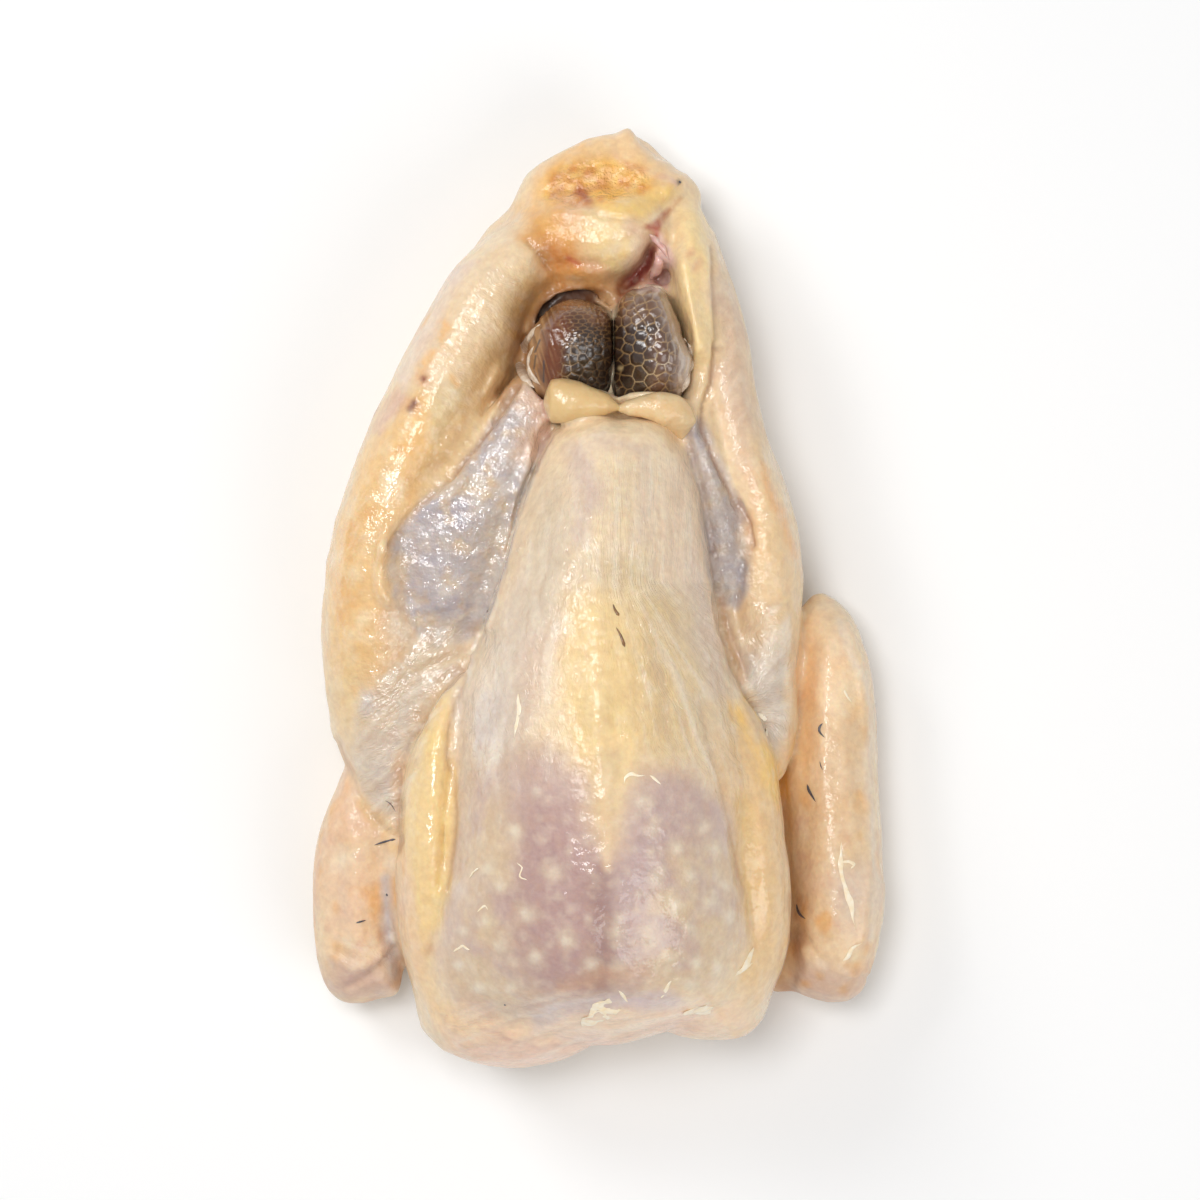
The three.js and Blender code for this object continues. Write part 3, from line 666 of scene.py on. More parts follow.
# left thigh below the knee
paint(patch(loose, [(-70.8, -16.7), (-55.6, -11.1), (-47.2, -15.3), (-55.6, -27.8),
                    (-61.1, -38.9), (-70.8, -40.3)], 6), (237, 205, 150), 0.7)
paint(patch(loose, [(-58.3, 0), (-34.7, -11.1), (-36.1, -19.4), (-44.4, -27.8), (-52.8, -44.4),
                    (-56.1, -63.9), (-63.3, -61.1), (-70.8, -44.4), (-66.7, -27.8),
                    (-59.7, -16.7)], 6), (222, 205, 186), 0.85)
paint(patch(loose, [(-55.6, -8.3), (-44.4, -13.9), (-47.2, -25), (-55.6, -27.8),
                    (-59.7, -22.2)], 5) * ease(specks * 2 + 0.3),
      (212, 194, 180), 0.7)
paint(patch(loose, [(-66.7, -25), (-63.3, -25), (-62.2, -29.2), (-66.1, -31.1)], 3),
                    (206, 205, 212), 0.8)
paint(stroke(loose, [(-55.6, -27.8), (-52.8, -38.9), (-55, -52.8)], 5), (222, 206, 188), 0.8)
# Painted shade along a fold of the thigh.
paint(stroke(loose, [(-38.3, -17.8), (-44.4, -22.2), (-47.8, -27.8)], 2.6), (206, 186, 166), 0.5)
paint(patch(loose, [(-54.2, -11.1), (-33.3, -10), (-36.1, -15.6), (-47.2, -22.2),
                    (-55.6, -25)], 4), (228, 206, 172), 0.6)
paint(patch(loose, [(-68.9, -33.3), (-55.6, -27.8), (-52.8, -44.4), (-56.7, -61.1),
                    (-63.9, -55.6)], 6) * ease(patches * 2 + 0.4),
      (208, 200, 198), 0.6)
paint(stroke(loose, [(-36.1, -15.3), (-43.1, -17.8), (-51.4, -20)], 1.8), (240, 210, 162), 0.5)
thigh_fat = patch(loose, [(-70.8, -11.1), (-55.6, -11.1), (-48.6, -16.7), (-55.6, -33.3),
                          (-63.9, -38.9), (-70.8, -36.1)], 6)
paint(thigh_fat * ease(patches * 2.4), (236, 184, 112), 0.5)

# breast: pale cream and lilac above, yellow along the keel
paint(patch(loose, [(-11.1, 47.2), (1.4, 58.3), (13.9, 55.6), (25, 41.7), (30.6, 16.7),
                    (33.9, -11.1), (27.8, -27.8), (11.1, 11.1), (-2.8, 0), (-11.1, -27.8),
                    (-27.8, -50), (-38.9, -50), (-36.1, -25), (-27.8, 0), (-19.4, 33.3)], 5),
                    (243, 219, 184), 0.85)
paint(patch(loose, [(-2.8, 50), (11.1, 52.8), (22.2, 36.1), (25, 16.7), (5.6, 11.1),
                    (-2.8, 22.2)], 7), (252, 225, 184), 0.8)
paint(patch(loose, [(16.7, 36.1), (27.8, 36.1), (31.1, 11.1), (33.9, -11.1), (25, -13.9),
                    (17.8, 11.1)], 5), (250, 222, 190), 0.75)
paint(patch(loose, [(-27.8, 0), (-11.1, 11.1), (-8.3, -11.1), (-11.1, -33.3),
                    (-22.2, -27.8)], 6), (240, 212, 176), 0.5)
paint(stroke(loose, [(-6.1, 40.3), (-2.8, 30.6), (-4.2, 19.4)], 6), (205, 181, 180), 0.55)
paint(stroke(loose, [(0, 44.4), (11.1, 41.1)], 5), (216, 194, 182), 0.5)
paint(stroke(loose, [(11.1, 36.1), (13.9, 27.8), (12.8, 16.7)], 5), (222, 200, 186), 0.4)
paint(stroke(loose, [(-16.7, -2.8), (-20.8, -19.4), (-26.4, -38.9)], 11), (216, 193, 182), 0.6)
paint(stroke(loose, [(25, 11.1), (28.3, -5.6), (31.9, -25)], 7), (212, 190, 182), 0.6)
paint(patch(loose, [(-15.3, 36.1), (-9.4, 33.3), (-7.8, 11.1), (-12.2, -5.6), (-19.4, -11.1),
                    (-23.6, 0), (-20, 19.4)], 5), (216, 197, 170), 0.8)
paint(patch(loose, [(-22.2, 11.1), (-27.8, -2.8), (-32.2, -13.9), (-36.1, -25), (-39.4, -36.1),
                    (-39.4, -52.8), (-27.8, -50), (-23.6, -27.8), (-19.4, -5.6)], 5),
      (222, 205, 184), 0.8)
paint(patch(loose, [(-33.9, -25), (-27.8, -25), (-28.3, -38.9), (-33.3, -44.4),
                    (-37.2, -40.3)], 5), (206, 192, 190), 0.6)
# Painted highlight: a thin pale line along the lit upper edge of the breast's left side.
paint(stroke(seen, [(-18.3, 33.3), (-22.5, 24.4), (-25, 15.3), (-27.8, 5.6), (-31.1, -3.3),
                    (-34.7, -12.5), (-36.4, -22.2)], 1.5), (238, 229, 215),
      0.7)
paint(patch(loose, [(0, 11.1), (11.1, 12.5), (25, 0), (29.2, -27.8), (25, -47.2), (11.1, -45.8),
                    (5.6, -27.8), (1.4, -11.1)], 7),
      (226, 200, 150), 0.7)
paint(patch(loose, [(15.3, 30.6), (27.8, 30.6), (29.4, 11.1), (25, 0), (17.8, 5.6)], 6),
                    (255, 228, 196), 0.6)
paint(patch(loose, [(-36.1, -50), (-16.7, -44.4), (-8.3, -55.6), (-11.1, -72.2), (-27.8, -75),
                    (-40.3, -69.4)], 7), (218, 190, 168),
      0.7)
paint(patch(loose, [(0, -11.1), (16.7, 0), (25, -16.7), (22.2, -38.9), (5.6, -38.9)], 6),
                    (228, 192, 132), 0.45)
KEEL = [(-9.4, 0), (0, 4.2), (8.3, -5.6), (11.7, -16.7), (10, -36.1), (6.1, -55.6), (3.3, -74.4),
        (0, -75.6), (-3.3, -55.6), (-8.3, -45.8), (-10.6, -27.8)]
paint(patch(loose, KEEL, 4), (240, 209, 150), 0.8)
paint(stroke(loose, [(-4.2, -5.6), (-2.2, -22.2), (-1.1, -38.9)], 5), (243, 214, 158), 0.7)
paint(patch(barely_loose, [(-1.1, -41.7), (6.1, -41.7), (4.4, -58.3), (2.2, -71.7), (0.6, -73.3),
                           (-0.6, -58.3)], 2), (222, 196, 152), 0.8)
paint(patch(loose, [(-6.9, -27.8), (8.9, -26.4), (8.9, -37.5), (-5.6, -38.9)], 4),
                    (230, 200, 140), 0.5)

# lower breast: mauve flesh through thin skin, with yellow fat round the pits
MAUVE = [(-40, -52.8), (-27.8, -45.8), (-14.4, -40.3), (-4.2, -47.2), (-0.6, -69.4),
         (1.7, -72.8), (4.4, -66.7), (7.8, -52.8), (11.1, -48.6), (25, -47.2), (37.5, -55.6),
         (42.2, -77.8), (40, -94.4), (29.2, -106.1), (13.9, -108.9), (0, -112.5), (-13.9, -115),
         (-27.8, -119.4), (-38.3, -113.9), (-43.3, -100), (-45, -83.3), (-43.9, -66.7)]
paint(patch(loose, MAUVE, 6), (200, 172, 163), 0.92)
paint(patch(loose, [(-19.4, -55.6), (-5.6, -55.6), (-0.6, -75), (0, -100), (-2.8, -111.1),
                    (-16.7, -109.7), (-25, -97.2), (-26.4, -77.8)], 8),
      (184, 150, 144), 0.85)
paint(patch(loose, [(8.9, -55.6), (16.7, -55.6), (18.9, -69.4), (13.9, -83.3), (6.9, -100),
                    (2.2, -100), (1.7, -83.3), (5, -72.2)], 6),
      (192, 166, 162), 0.8)
paint(stroke(loose, [(0, -77.8), (0.8, -91.7), (-0.6, -106.9)], 7), (160, 124, 118), 0.8)
paint(stroke(barely_loose, [(1.7, -47.2), (1.4, -59.7), (1.7, -74.4)], 2.6), (234, 202, 160), 0.65)
paint(stroke(loose, [(-17.2, -52.8), (-11.1, -69.4), (-5.6, -81.9)], 1.8), (180, 146, 142), 0.4)
pitted_fat = patch(loose, [(-41.7, -55.6), (-27.8, -52.8), (-22.2, -72.2), (-27.8, -100),
                           (-16.7, -111.1), (-27.8, -116.7), (-41.1, -108.3)], 7)
pitted_fat = np.maximum(pitted_fat, patch(
    loose, [(16.7, -72.2), (38.9, -63.9), (42.2, -83.3), (40.3, -104.2), (25, -109.7),
            (13.9, -106.9), (11.1, -94.4)], 7))
paint(pitted_fat * ease(patches * 1.5 + 0.6), (226, 200, 160), 0.75)
paint(dots(loose, LARGE_PITS, 5.0) * pitted * ease(specks + 0.9), (224, 204, 174), 0.6)
paint(small_pits * pitted, (226, 208, 182), 0.5)
paint(dots(barely_loose, LARGE_PITS, 2.6) * ease(patches * 1.2 + 0.8), (240, 228, 206), 0.6)
paint(stroke(loose, [(-11.1, -106.9), (0, -104.2), (11.1, -102.8)], 4), (208, 164, 132), 0.5)

# lip of neck skin; its first colour is paler, painted light on a slope that faces away from the
# lamps
paint(patch(loose, [(-47.2, -111.1), (-27.8, -118.1), (-11.1, -114.4), (11.1, -111.7),
                    (27.8, -111.7), (38.9, -111.1), (40.3, -119.4), (11.1, -127.8),
                    (-16.7, -136.1), (-44.4, -127.8)], 4), (250, 216, 182), 0.85)
paint(stroke(loose, [(-18.1, -117.2), (-6.9, -113.3), (6.1, -111.1), (20, -112.2)], 4),
                     (208, 190, 196), 0.75)
paint(stroke(loose, [(-27.8, -125), (-11.1, -126.7), (0, -125)], 6), (228, 190, 172), 0.6)
paint(stroke(barely_loose, [(-33.3, -119.4), (-16.7, -125), (0, -122.2)], 1), (204, 160, 146), 0.5)
paint(stroke(barely_loose, [(-2.8, -125.6), (11.1, -119.4), (25, -116.7)], 1), (200, 160, 140), 0.5)

# shoulder rolls: yellow fat, orange at the edge of the right one
paint(patch(loose, [(-50, -31.9), (-43.1, -25), (-39.4, -37.5), (-41.1, -52.8), (-40.3, -63.9),
                    (-44.4, -83.3), (-45.6, -100), (-44.4, -113.9), (-54.2, -100),
                    (-56.7, -77.8), (-55.6, -50)], 3), (240, 205, 152), 0.9)
paint(patch(barely_loose, [(-38.3, -20.6), (-41.1, -28.9), (-42.8, -36.1), (-42.8, -43.3),
                           (-41.4, -50), (-40.6, -58.9), (-41.4, -69.4), (-44.4, -91.7),
                           (-50, -91.7), (-55, -72.2), (-55, -50), (-52.8, -38.9),
                           (-47.2, -30)], 1.6), (242, 211, 152), 0.8)
paint(stroke(loose, [(-44.4, -38.9), (-43.3, -52.8), (-43.9, -66.7), (-46.1, -80.6)], 5),
                     (244, 214, 140), 0.5)
paint(stroke(loose, [(-55, -44.4), (-56.1, -63.9), (-54.4, -88.9), (-50, -105.6)], 4.5),
                     (243, 202, 158), 0.75)
paint(stroke(loose, [(-50, -106.9), (-44.4, -113.9), (-36.1, -120.8)], 6), (240, 205, 155), 0.7)
paint(dots(loose, [(-46.7, -98.6)], 3), (206, 150, 110), 0.5)
paint(stroke(loose, [(-37.8, -25), (-38.6, -33.3), (-38.3, -44.4), (-37.2, -55.6),
                     (-37.8, -69.4), (-40, -80.6)], 3.2), (222, 203, 184), 0.85)
paint(patch(loose, [(31.9, -37.5), (40.3, -34.7), (47.8, -40.3), (50, -55.6), (52.8, -83.3),
                    (51.4, -100), (44.4, -111.1), (37.5, -108.3), (40.3, -83.3), (37.5, -66.7),
                    (33.9, -52.8)], 4), (238, 200, 146), 0.9)
paint(stroke(loose, [(39.4, -31.1), (44.4, -36.1), (47.2, -43.1), (49.2, -52.8)], 6),
                     (255, 206, 116), 0.95)
paint(stroke(loose, [(39.4, -55.6), (42.2, -72.2), (42.2, -86.1)], 4), (228, 192, 132), 0.7)
paint(stroke(loose, [(51.7, -75), (52.2, -91.7), (47.2, -106.9)], 4), (232, 200, 154), 0.6)

# drumsticks: grey and lilac, with yellowish strands
bare_top = patch(barely_loose, LEFT_DRUMSTICK, 1.6)
for drumstick in (LEFT_DRUMSTICK, RIGHT_DRUMSTICK):
    bare = patch(barely_loose, drumstick, 1.6)
    paint(bare, (192, 182, 181), 0.95)
    paint(bare * ease(patches * 2.4), (174, 166, 176), 0.75)
    paint(bare * ease(-patches * 2.4), (222, 200, 166), 0.6)
    paint(bare * ease(lumps * 1.5), (224, 214, 206), 0.5)
    paint(bare * ease(mixed_grain(points, 4, 88) * 3 - 0.5), (222, 190, 142), 0.6)
    paint(bare * ease(-lumps * 1.6) * ease(specks * 2 + 0.3), (160, 142, 142), 0.45)
    paint(bare * fine_crackle, (214, 204, 198), 0.35)
paint(stroke(loose, [(-19.4, 56.1), (-16.1, 50),
                     (-18.9, 41.1)], 8) * bare_top, (240, 206, 180), 0.8)
# Painted shadow: a thin brown line along the drumstick's edge under the fat.
paint(stroke(barely_loose, [(-17.2, 57.2), (-15, 51.4),
                            (-13.9, 44.4)], 1.6) * bare_top, (186, 116, 92), 0.6)
paint(patch(barely_loose, RIGHT_DRUMSTICK, 1.6), (160, 147, 140), 0.5)
paint(patch(loose, [(-27.8, 27.8), (-23.6, 22.2), (-27.8, 5.6), (-33.3, -5.6), (-36.1, 0),
                    (-31.9, 13.9)], 4), (206, 190, 170), 0.6)
paint(patch(loose, [(-55.6, 19.4), (-47.2, 22.2), (-44.4, 11.1), (-48.6, 0),
                    (-54.2, 2.8)], 5) * bare_top, (172, 164, 176), 0.6)
paint(stroke(loose, [(-57.2, 11.1), (-56.1, 0), (-52.2, -8.3)], 3), (226, 190, 140), 0.55)

# right leg: peach above, yellow below, grey where it goes under the breast
paint(patch(loose, [(25, 102.8), (33.9, 95.8), (40.3, 77.8), (44.4, 50), (42.2, 33.3),
                    (37.5, 36.1), (32.8, 55.6), (31.1, 75)], 4),
      (228, 200, 172), 0.85)
paint(stroke(loose, [(33.9, 83.3), (37.2, 66.7), (39.4, 50)], 4), (218, 186, 158), 0.6)
paint(stroke(loose, [(27.8, 97.2), (33.3, 86.1)], 4), (240, 214, 180), 0.6)
paint(patch(loose, [(42.2, 44.4), (48.6, 33.3), (55, 11.1), (55.6, -11.1), (50, -13.9),
                    (43.1, 0), (41.7, 16.7)], 4),
      (238, 204, 156), 0.85)
paint(stroke(loose, [(45, 36.1), (50, 25), (54.4, 11.1)], 2.5), (238, 176, 110), 0.6)
paint(stroke(loose, [(38.9, 38.9), (42.2, 27.8), (43.3, 15.3)], 3), (226, 184, 144), 0.6)
paint(patch(loose, [(37.5, -13.9), (44.4, -11.1), (53.3, -13.9), (52.8, -33.3), (50, -43.1),
                    (45, -38.9), (40.3, -25)], 3),
      (204, 190, 178), 0.8)
paint(patch(loose, [(37.5, -2.8), (47.2, -5.6), (53.3, -11.1), (47.2, -16.7), (38.9, -13.9)], 4),
                    (222, 194, 160), 0.7)
# Painted shade along the crease between the breast and the right leg.
paint(stroke(barely_loose, [(33.9, 0), (36.1, -8.3), (39.4, -18.1)], 2), (176, 128, 92), 0.6)

# belt of skin beside the right hock
paint(stroke(loose, [(25, 106.9), (26.7, 94.4), (25, 80.6), (27.8, 69.4)], 9),
                     (253, 222, 160), 0.95)
paint(stroke(loose, [(25.6, 83.3), (28.3, 69.4), (29.4, 55.6)], 4), (238, 208, 156), 0.7)
paint(dots(loose, [(26.7, 92.2), (24.4, 95.8)], 2.4), (226, 168, 132), 0.6)

# tail and the fat roll at the vent
paint(patch(loose, [(-21.1, 107.8), (-18.6, 117.2), (-8.3, 126.4), (8.3, 131.7), (17.2, 122.2),
                    (23.6, 116.1), (13.9, 107.8), (-11.1, 107.8)], 4),
      (240, 202, 150), 0.85)
paint(stroke(loose, [(-18.9, 108.3), (-15.3, 118.1), (-5.6, 125)], 5), (243, 194, 132), 0.7)
paint(patch(loose, [(-1.1, 128.9), (8.9, 132.2), (16.1, 126.1), (23.3, 117.2), (13.9, 116.1),
                    (5.6, 120.8)], 3), (250, 212, 162), 0.9)
paint(stroke(loose, [(-1.1, 122.2), (5.6, 118.9), (13.9, 117.2),
                     (20, 116.4)], 3) * ease(specks * 2 + 0.5),
      (232, 184, 164), 0.6)
paint(stroke(loose, [(0, 126.1), (9.7, 120.8), (18.9, 117.2)], 1.6) * ease(patches * 2 + 0.5),
                     (230, 178, 160), 0.5)
paint(patch(loose, CRATER, 5), (243, 192, 112), 0.9)
paint(patch(loose, CRATER, 2.5), (252, 190, 78), 0.9)
paint(stroke(loose, [(-10.6, 118.3), (-4.2, 120), (1.7, 118.9)], 4), (214, 140, 46), 0.65)
paint(stroke(loose, [(6.9, 117.8), (11.7, 115.6)], 3.5), (222, 148, 62), 0.6)
torn = grain(points, 1.9, 54)
paint(raw * ease(torn * 2.0), (206, 118, 34), 0.6)
paint(raw * ease(-torn * 2.0), (252, 206, 112), 0.5)
paint(stroke(barely_loose, [(-6.1, 113.6), (-4.4, 112.2), (-2.8, 110.3)], 2.6), (166, 62, 24), 0.85)
paint(stroke(loose, [(-11.1, 113.9), (-8.3, 111.9), (-6.1, 110)], 3), (206, 130, 60), 0.6)
paint(stroke(barely_loose, [(-12.2, 112.2), (-9.7, 110.6), (-2.8, 109.2)], 2), (214, 150, 116), 0.5)
paint(patch(loose, [(-2.2, 109.4), (5.6, 105.8), (12.5, 105), (16.7, 108.9), (21.1, 115),
                    (16.1, 116.1), (11.7, 112.8), (3.3, 110.3)], 2.5),
      (243, 204, 126), 0.95)
paint(patch(loose, [(-22.2, 100), (-19.4, 107.8), (-8.3, 108.9), (-4.2, 101.4), (-6.9, 91.7),
                    (-15.3, 93.9)], 5), (230, 170, 90), 0.95)
paint(stroke(loose, [(-11.1, 106.9), (-5.6, 105), (-2.8, 100)], 5) * ease(specks * 2 + 0.6),
                     (232, 176, 130), 0.6)
paint(patch(loose, [(-3.3, 105), (11.1, 103.9), (13.9, 101.1), (9.4, 92.8), (1.7, 88.9),
                    (-3.3, 95)], 5), (239, 205, 134), 0.9)
paint(patch(loose, [(3.3, 103.3), (11.1, 102.2), (12.5, 98.3), (5.6, 93.9),
                    (1.7, 97.2)], 4) * ease(patches * 2 + 0.5),
      (226, 204, 176), 0.7)
paint(patch(loose, [(-16.7, 100), (-11.1, 98.3), (-4.4, 95.6), (0.6, 92.8), (2.8, 86.1),
                    (-5.6, 85), (-15, 86.1)], 4.5), (198, 118, 44),
      0.95)
# Painted shade where the vent roll goes down into the pit behind the hocks.
paint(stroke(loose, [(-12.2, 87.8), (-5.6, 85.8), (1.1, 85)], 3.5), (160, 96, 52), 0.75)
paint(stroke(loose, [(8.9, 105), (13.3, 100), (8.9, 93.9)], 4), (216, 180, 160), 0.6)
paint(stroke(loose, [(-1.7, 92.2), (1.7, 90), (3.3, 86.1)], 5), (214, 164, 130), 0.7)
paint(stroke(loose, [(-9.2, 95.3), (-7.2, 94.4), (-6.1, 93.9)], 1.5), (180, 66, 36), 0.8)
# Painted shade along the fold between the left leg roll and the tail.
paint(stroke(loose, [(-20, 99.4), (-15, 93.9), (-11.7, 87.2)], 1.8), (196, 132, 66), 0.6)
paint(dots(seen, [(21.9, 116.1)], 1.2), (60, 26, 24), 0.9)

# the gash beside the vent, red inside, with paler flesh along its right side
GASH = [(3.6, 82.2), (4.4, 87.5), (7.8, 90.8), (11.7, 94.4), (14.2, 98.9), (16.1, 98.3),
        (15, 92.8), (12.5, 88.6), (8.3, 86.1), (5.3, 82.2)]
FLESH = [(15.3, 101.7), (18.6, 98.9), (20.8, 93.9), (19.4, 87.2), (15.3, 85.6), (11.4, 86.7),
         (14.4, 91.1), (15.6, 96.1)]
SLIT = [(11.9, 103.9), (14.4, 102.2), (15.8, 100), (17.2, 103.9), (20, 108.9), (17.5, 107.8),
        (14.7, 105)]
shown = everywhere
paint(patch(barely_loose, FLESH, 1.5), (216, 170, 164), 0.9)
paint(stroke(barely_loose, [(18.9, 97.2), (20, 92.2), (18.3, 88.3)], 1.8), (232, 204, 190), 0.7)
paint(stroke(barely_loose, [(16.7, 101.1), (19.4, 95.6), (17.8, 87.8)], 1.6), (232, 198, 184), 0.6)
paint(patch(barely_loose, GASH, 1.2), (152, 62, 54), 0.95)
paint(stroke(seen, [(14.4, 96.7), (12.8, 92.2), (9.4, 88.3), (6.1, 85)], 1.6), (118, 38, 36), 0.8)
paint(patch(seen, SLIT, 0.9), (168, 66, 48), 0.9)
paint(stroke(barely_loose, [(16.7, 105), (19.4, 108.3), (22.2, 111.7)], 1.2), (206, 150, 100), 0.6)
shown = shown_before

# wings: peach skin with yellow and pink mottles, mauve at the elbows
RIGHT_WING = [(61.1, 3.3), (69.4, -5.6), (74.4, -22.2), (77.8, -50), (79.4, -77.8), (77.8, -100),
              (72.8, -112.5), (55.6, -113.3), (49.4, -108.3), (51.7, -83.3), (50.6, -55.6),
              (54.2, -22.2), (57.8, -2.8)]
LEFT_WING = [(-73.3, -40), (-66.1, -55.6), (-56.7, -67.2), (-54.2, -83.3), (-55.6, -108.3),
             (-61.1, -112.5), (-75, -109.7), (-80, -83.3), (-78.3, -61.1)]
paint(patch(loose, RIGHT_WING, 3), (240, 210, 170), 0.85)
paint(patch(loose, LEFT_WING, 3), (236, 204, 168), 0.85)
for wing in (RIGHT_WING, LEFT_WING):
    here = patch(loose, wing, 3)
    paint(here * ease(patches * 2.6 - 0.2), (240, 182, 108), 0.65)
    paint(here * ease(mixed_grain(points, 5, 90) * 3 - 0.6), (214, 164, 142), 0.4)
    paint(here * ease(-clouds * 2.6), (236, 200, 170), 0.7)
    paint(here * ease(-patches * 2.6 - 0.3), (246, 226, 196), 0.6)
    paint(here * fine_pits, (243, 224, 190), 0.3)
paint(patch(loose, [(57.8, 0), (69.4, -4.4), (73.9, -25), (66.7, -33.3), (55.6, -25)], 5),
                    (250, 222, 184), 0.7)
paint(patch(loose, [(60.6, -33.3), (72.8, -33.3), (73.9, -55.6), (71.1, -72.2),
                    (60.6, -69.4)], 5), (226, 190, 148), 0.6)
paint(patch(loose, [(52.8, -101.4), (63.9, -100), (73.9, -105.6), (72.2, -112.8),
                    (53.3, -112.8)], 4), (210, 176, 156), 0.8)
paint(dots(loose, [(57.2, -106.9), (68.3, -108.3), (61.7, -103.3)], 3), (214, 158, 92), 0.6)
paint(stroke(loose, [(55.6, -83.3), (56.4, -88.9), (57.2, -94.4)], 3.5), (196, 142, 96), 0.5)
paint(stroke(loose, [(55, -93.1), (55.6, -101.4), (53.3, -108.3)], 3), (172, 128, 104), 0.7)
paint(patch(loose, [(65.3, -75), (73.6, -72.2), (75.6, -83.3), (69.4, -90.3), (65.3, -84.7)], 5),
                    (214, 194, 182), 0.6)
paint(stroke(loose, [(68.3, -6.9), (72.2, -16.7), (74.4, -33.3), (76.1, -55.6), (76.7, -77.8),
                     (75, -94.4)], 2.4), (236, 220, 198), 0.7)
paint(stroke(loose, [(58.9, -13.9), (57.2, -33.3), (56.1, -55.6)], 4), (244, 200, 136), 0.5)
paint(patch(loose, [(-75, -100), (-63.3, -101.4), (-56.1, -106.9), (-61.1, -112.2),
                    (-75, -110)], 4), (204, 170, 156), 0.75)
paint(stroke(loose, [(-70.8, -106.9), (-63.9, -102.8), (-59.7, -98.6)], 2.5), (186, 150, 146), 0.55)
paint(stroke(loose, [(-66.1, -55.6), (-61.1, -62.5), (-56.7, -68.1)], 3), (244, 208, 150), 0.6)
paint(patch(loose, [(-75, -75), (-66.7, -77.8), (-67.8, -91.7), (-73.9, -91.7)], 5),
                    (236, 190, 166), 0.35)
# Painted shadow in the groove near the left wing's lower end.
paint(stroke(loose, [(-60, -91.7), (-57.8, -98.6), (-56.1, -104.2)], 3), (200, 146, 104), 0.6)
paint(stroke(seen, [(-59.4, -77.8), (-58.9, -91.7), (-57.2, -104.2)], 3.2), (204, 196, 196), 0.8)

# neck end, pale pink
paint(patch(loose, [(-41.7, -119.4), (-22.2, -125), (5.6, -121.1), (27.8, -113.9),
                    (27.8, -119.4), (0, -131.9), (-16.7, -136.7), (-33.3, -133.3)], 5),
      (244, 202, 176), 0.75)

# Skin that dips between two parts lies deeper, and is painted darker brown there: painted shade.
crease_shade = np.zeros(len(points))
crease_shade_core = np.zeros(len(points))
for line, depth, width, painted_shade in CREASES:
    crease_shade = np.maximum(crease_shade, stroke(seen, line, width * 0.8) * painted_shade)
    crease_shade_core = np.maximum(crease_shade_core, stroke(seen, line, 0.8) * painted_shade)
paint(crease_shade, (198, 150, 104), 0.45)
paint(crease_shade_core, (134, 80, 54), 0.6)
shown = everywhere
# Painted shade deep in the pit round the hocks, darker the lower the skin lies.
PIT_MIDDLE = (1.7, 70.8)
pit_round = ease(1 - np.hypot(u - PIT_MIDDLE[0], v - PIT_MIDDLE[1]) / 27)
pit_shade = pit_round * ease((46 - points[:, 2]) / 8)
paint(pit_shade, (126, 74, 44), 0.8)
PIT_EDGE = [(-20.6, 70), (-19.7, 77.8), (-17.5, 82.8), (-14.2, 86.1), (-10, 87.8), (-3.3, 88.1),
            (1.7, 87.2), (4.4, 84.4), (3.3, 81.1)]
PIT = [(-18.9, 70.8), (-18.1, 76.7), (-16.1, 80.6), (-12.8, 83.6), (-8.9, 85), (-2.8, 85.3),
       (1.7, 84.4), (2.8, 81.7), (-2.8, 80.6), (-10.6, 80), (-13.3, 76.7), (-15.6, 70.8)]
paint(patch(loose, [(-24.4, 69.4), (-22.2, 81.7), (-18.3, 87.8), (-12.2, 91.7), (-5.6, 92.2),
                    (1.7, 91.1), (5, 87.8), (3.3, 82.2)], 4),
      (236, 178, 108), 0.8)
# Painted shadow in the crescent above the left hock, dark brown at its edge and near black in its
# middle.
paint(patch(barely_loose, PIT_EDGE, 2.4), (140, 80, 36), 0.9)
paint(patch(barely_loose, PIT, 2.2), (92, 50, 26), 0.9)
paint(stroke(seen, [(-17.5, 73.3), (-16.4, 77.8), (-14.2, 81.1), (-11.1, 83.1)], 2.2),
                    (52, 27, 16), 0.95)
paint(stroke(seen, [(-12.2, 82.8), (-7.8, 83.9), (-2.8, 83.9)], 1.3), (84, 45, 25), 0.9)
paint(patch(barely_loose, [(-2.2, 85), (3.3, 86.1), (5.3, 83.9), (3.3, 79.4), (0, 81.7)], 1.0),
                           (196, 154, 108), 0.85)
paint(dots(seen, [(1.7, 83.6), (3.3, 80)], 0.9), (84, 34, 20), 0.9)
# Painted shade low in the gap between the right wing and the body, darker the lower it lies.
gap_shade = patch(seen, [(50, -5.6), (55.6, -11.1), (54.4, -44.4), (56.1, -83.3), (52.8, -111.1),
                       (48.6, -108.3), (49.4, -55.6), (47.2, -27.8)], 2)
paint(gap_shade * ease((24 - points[:, 2]) / 8), (176, 112, 58), 0.85)
paint(ease((0.9 - points[:, 2]) / 1.2) * ease(patches + 0.4), (232, 196, 160), 0.5)
shown = shown_before

# Fine lines and specks of the skin itself.
paint(lined * ease(lines * 1.4), (248, 232, 208), 0.32)
paint(lined * ease(-lines * 1.4), (212, 182, 152), 0.24)
paint(lined * ease(strands * 3 - 1.1), (250, 238, 220), 0.4)
paint(lined * ease(-strands * 3 - 1.1), (206, 176, 146), 0.35)
paint(ease(specks * 1.8), (248, 230, 202), 0.2)
paint(ease(-specks * 1.8), (214, 176, 140), 0.2)


def keep_colours(piece, name, values):
    """Four values for every corner of the piece, kept on it for its finish to read."""
    layer = piece.data.attributes.new(name, "FLOAT_COLOR", "POINT")
    layer.data.foreach_set("color", np.ascontiguousarray(values, float).ravel())


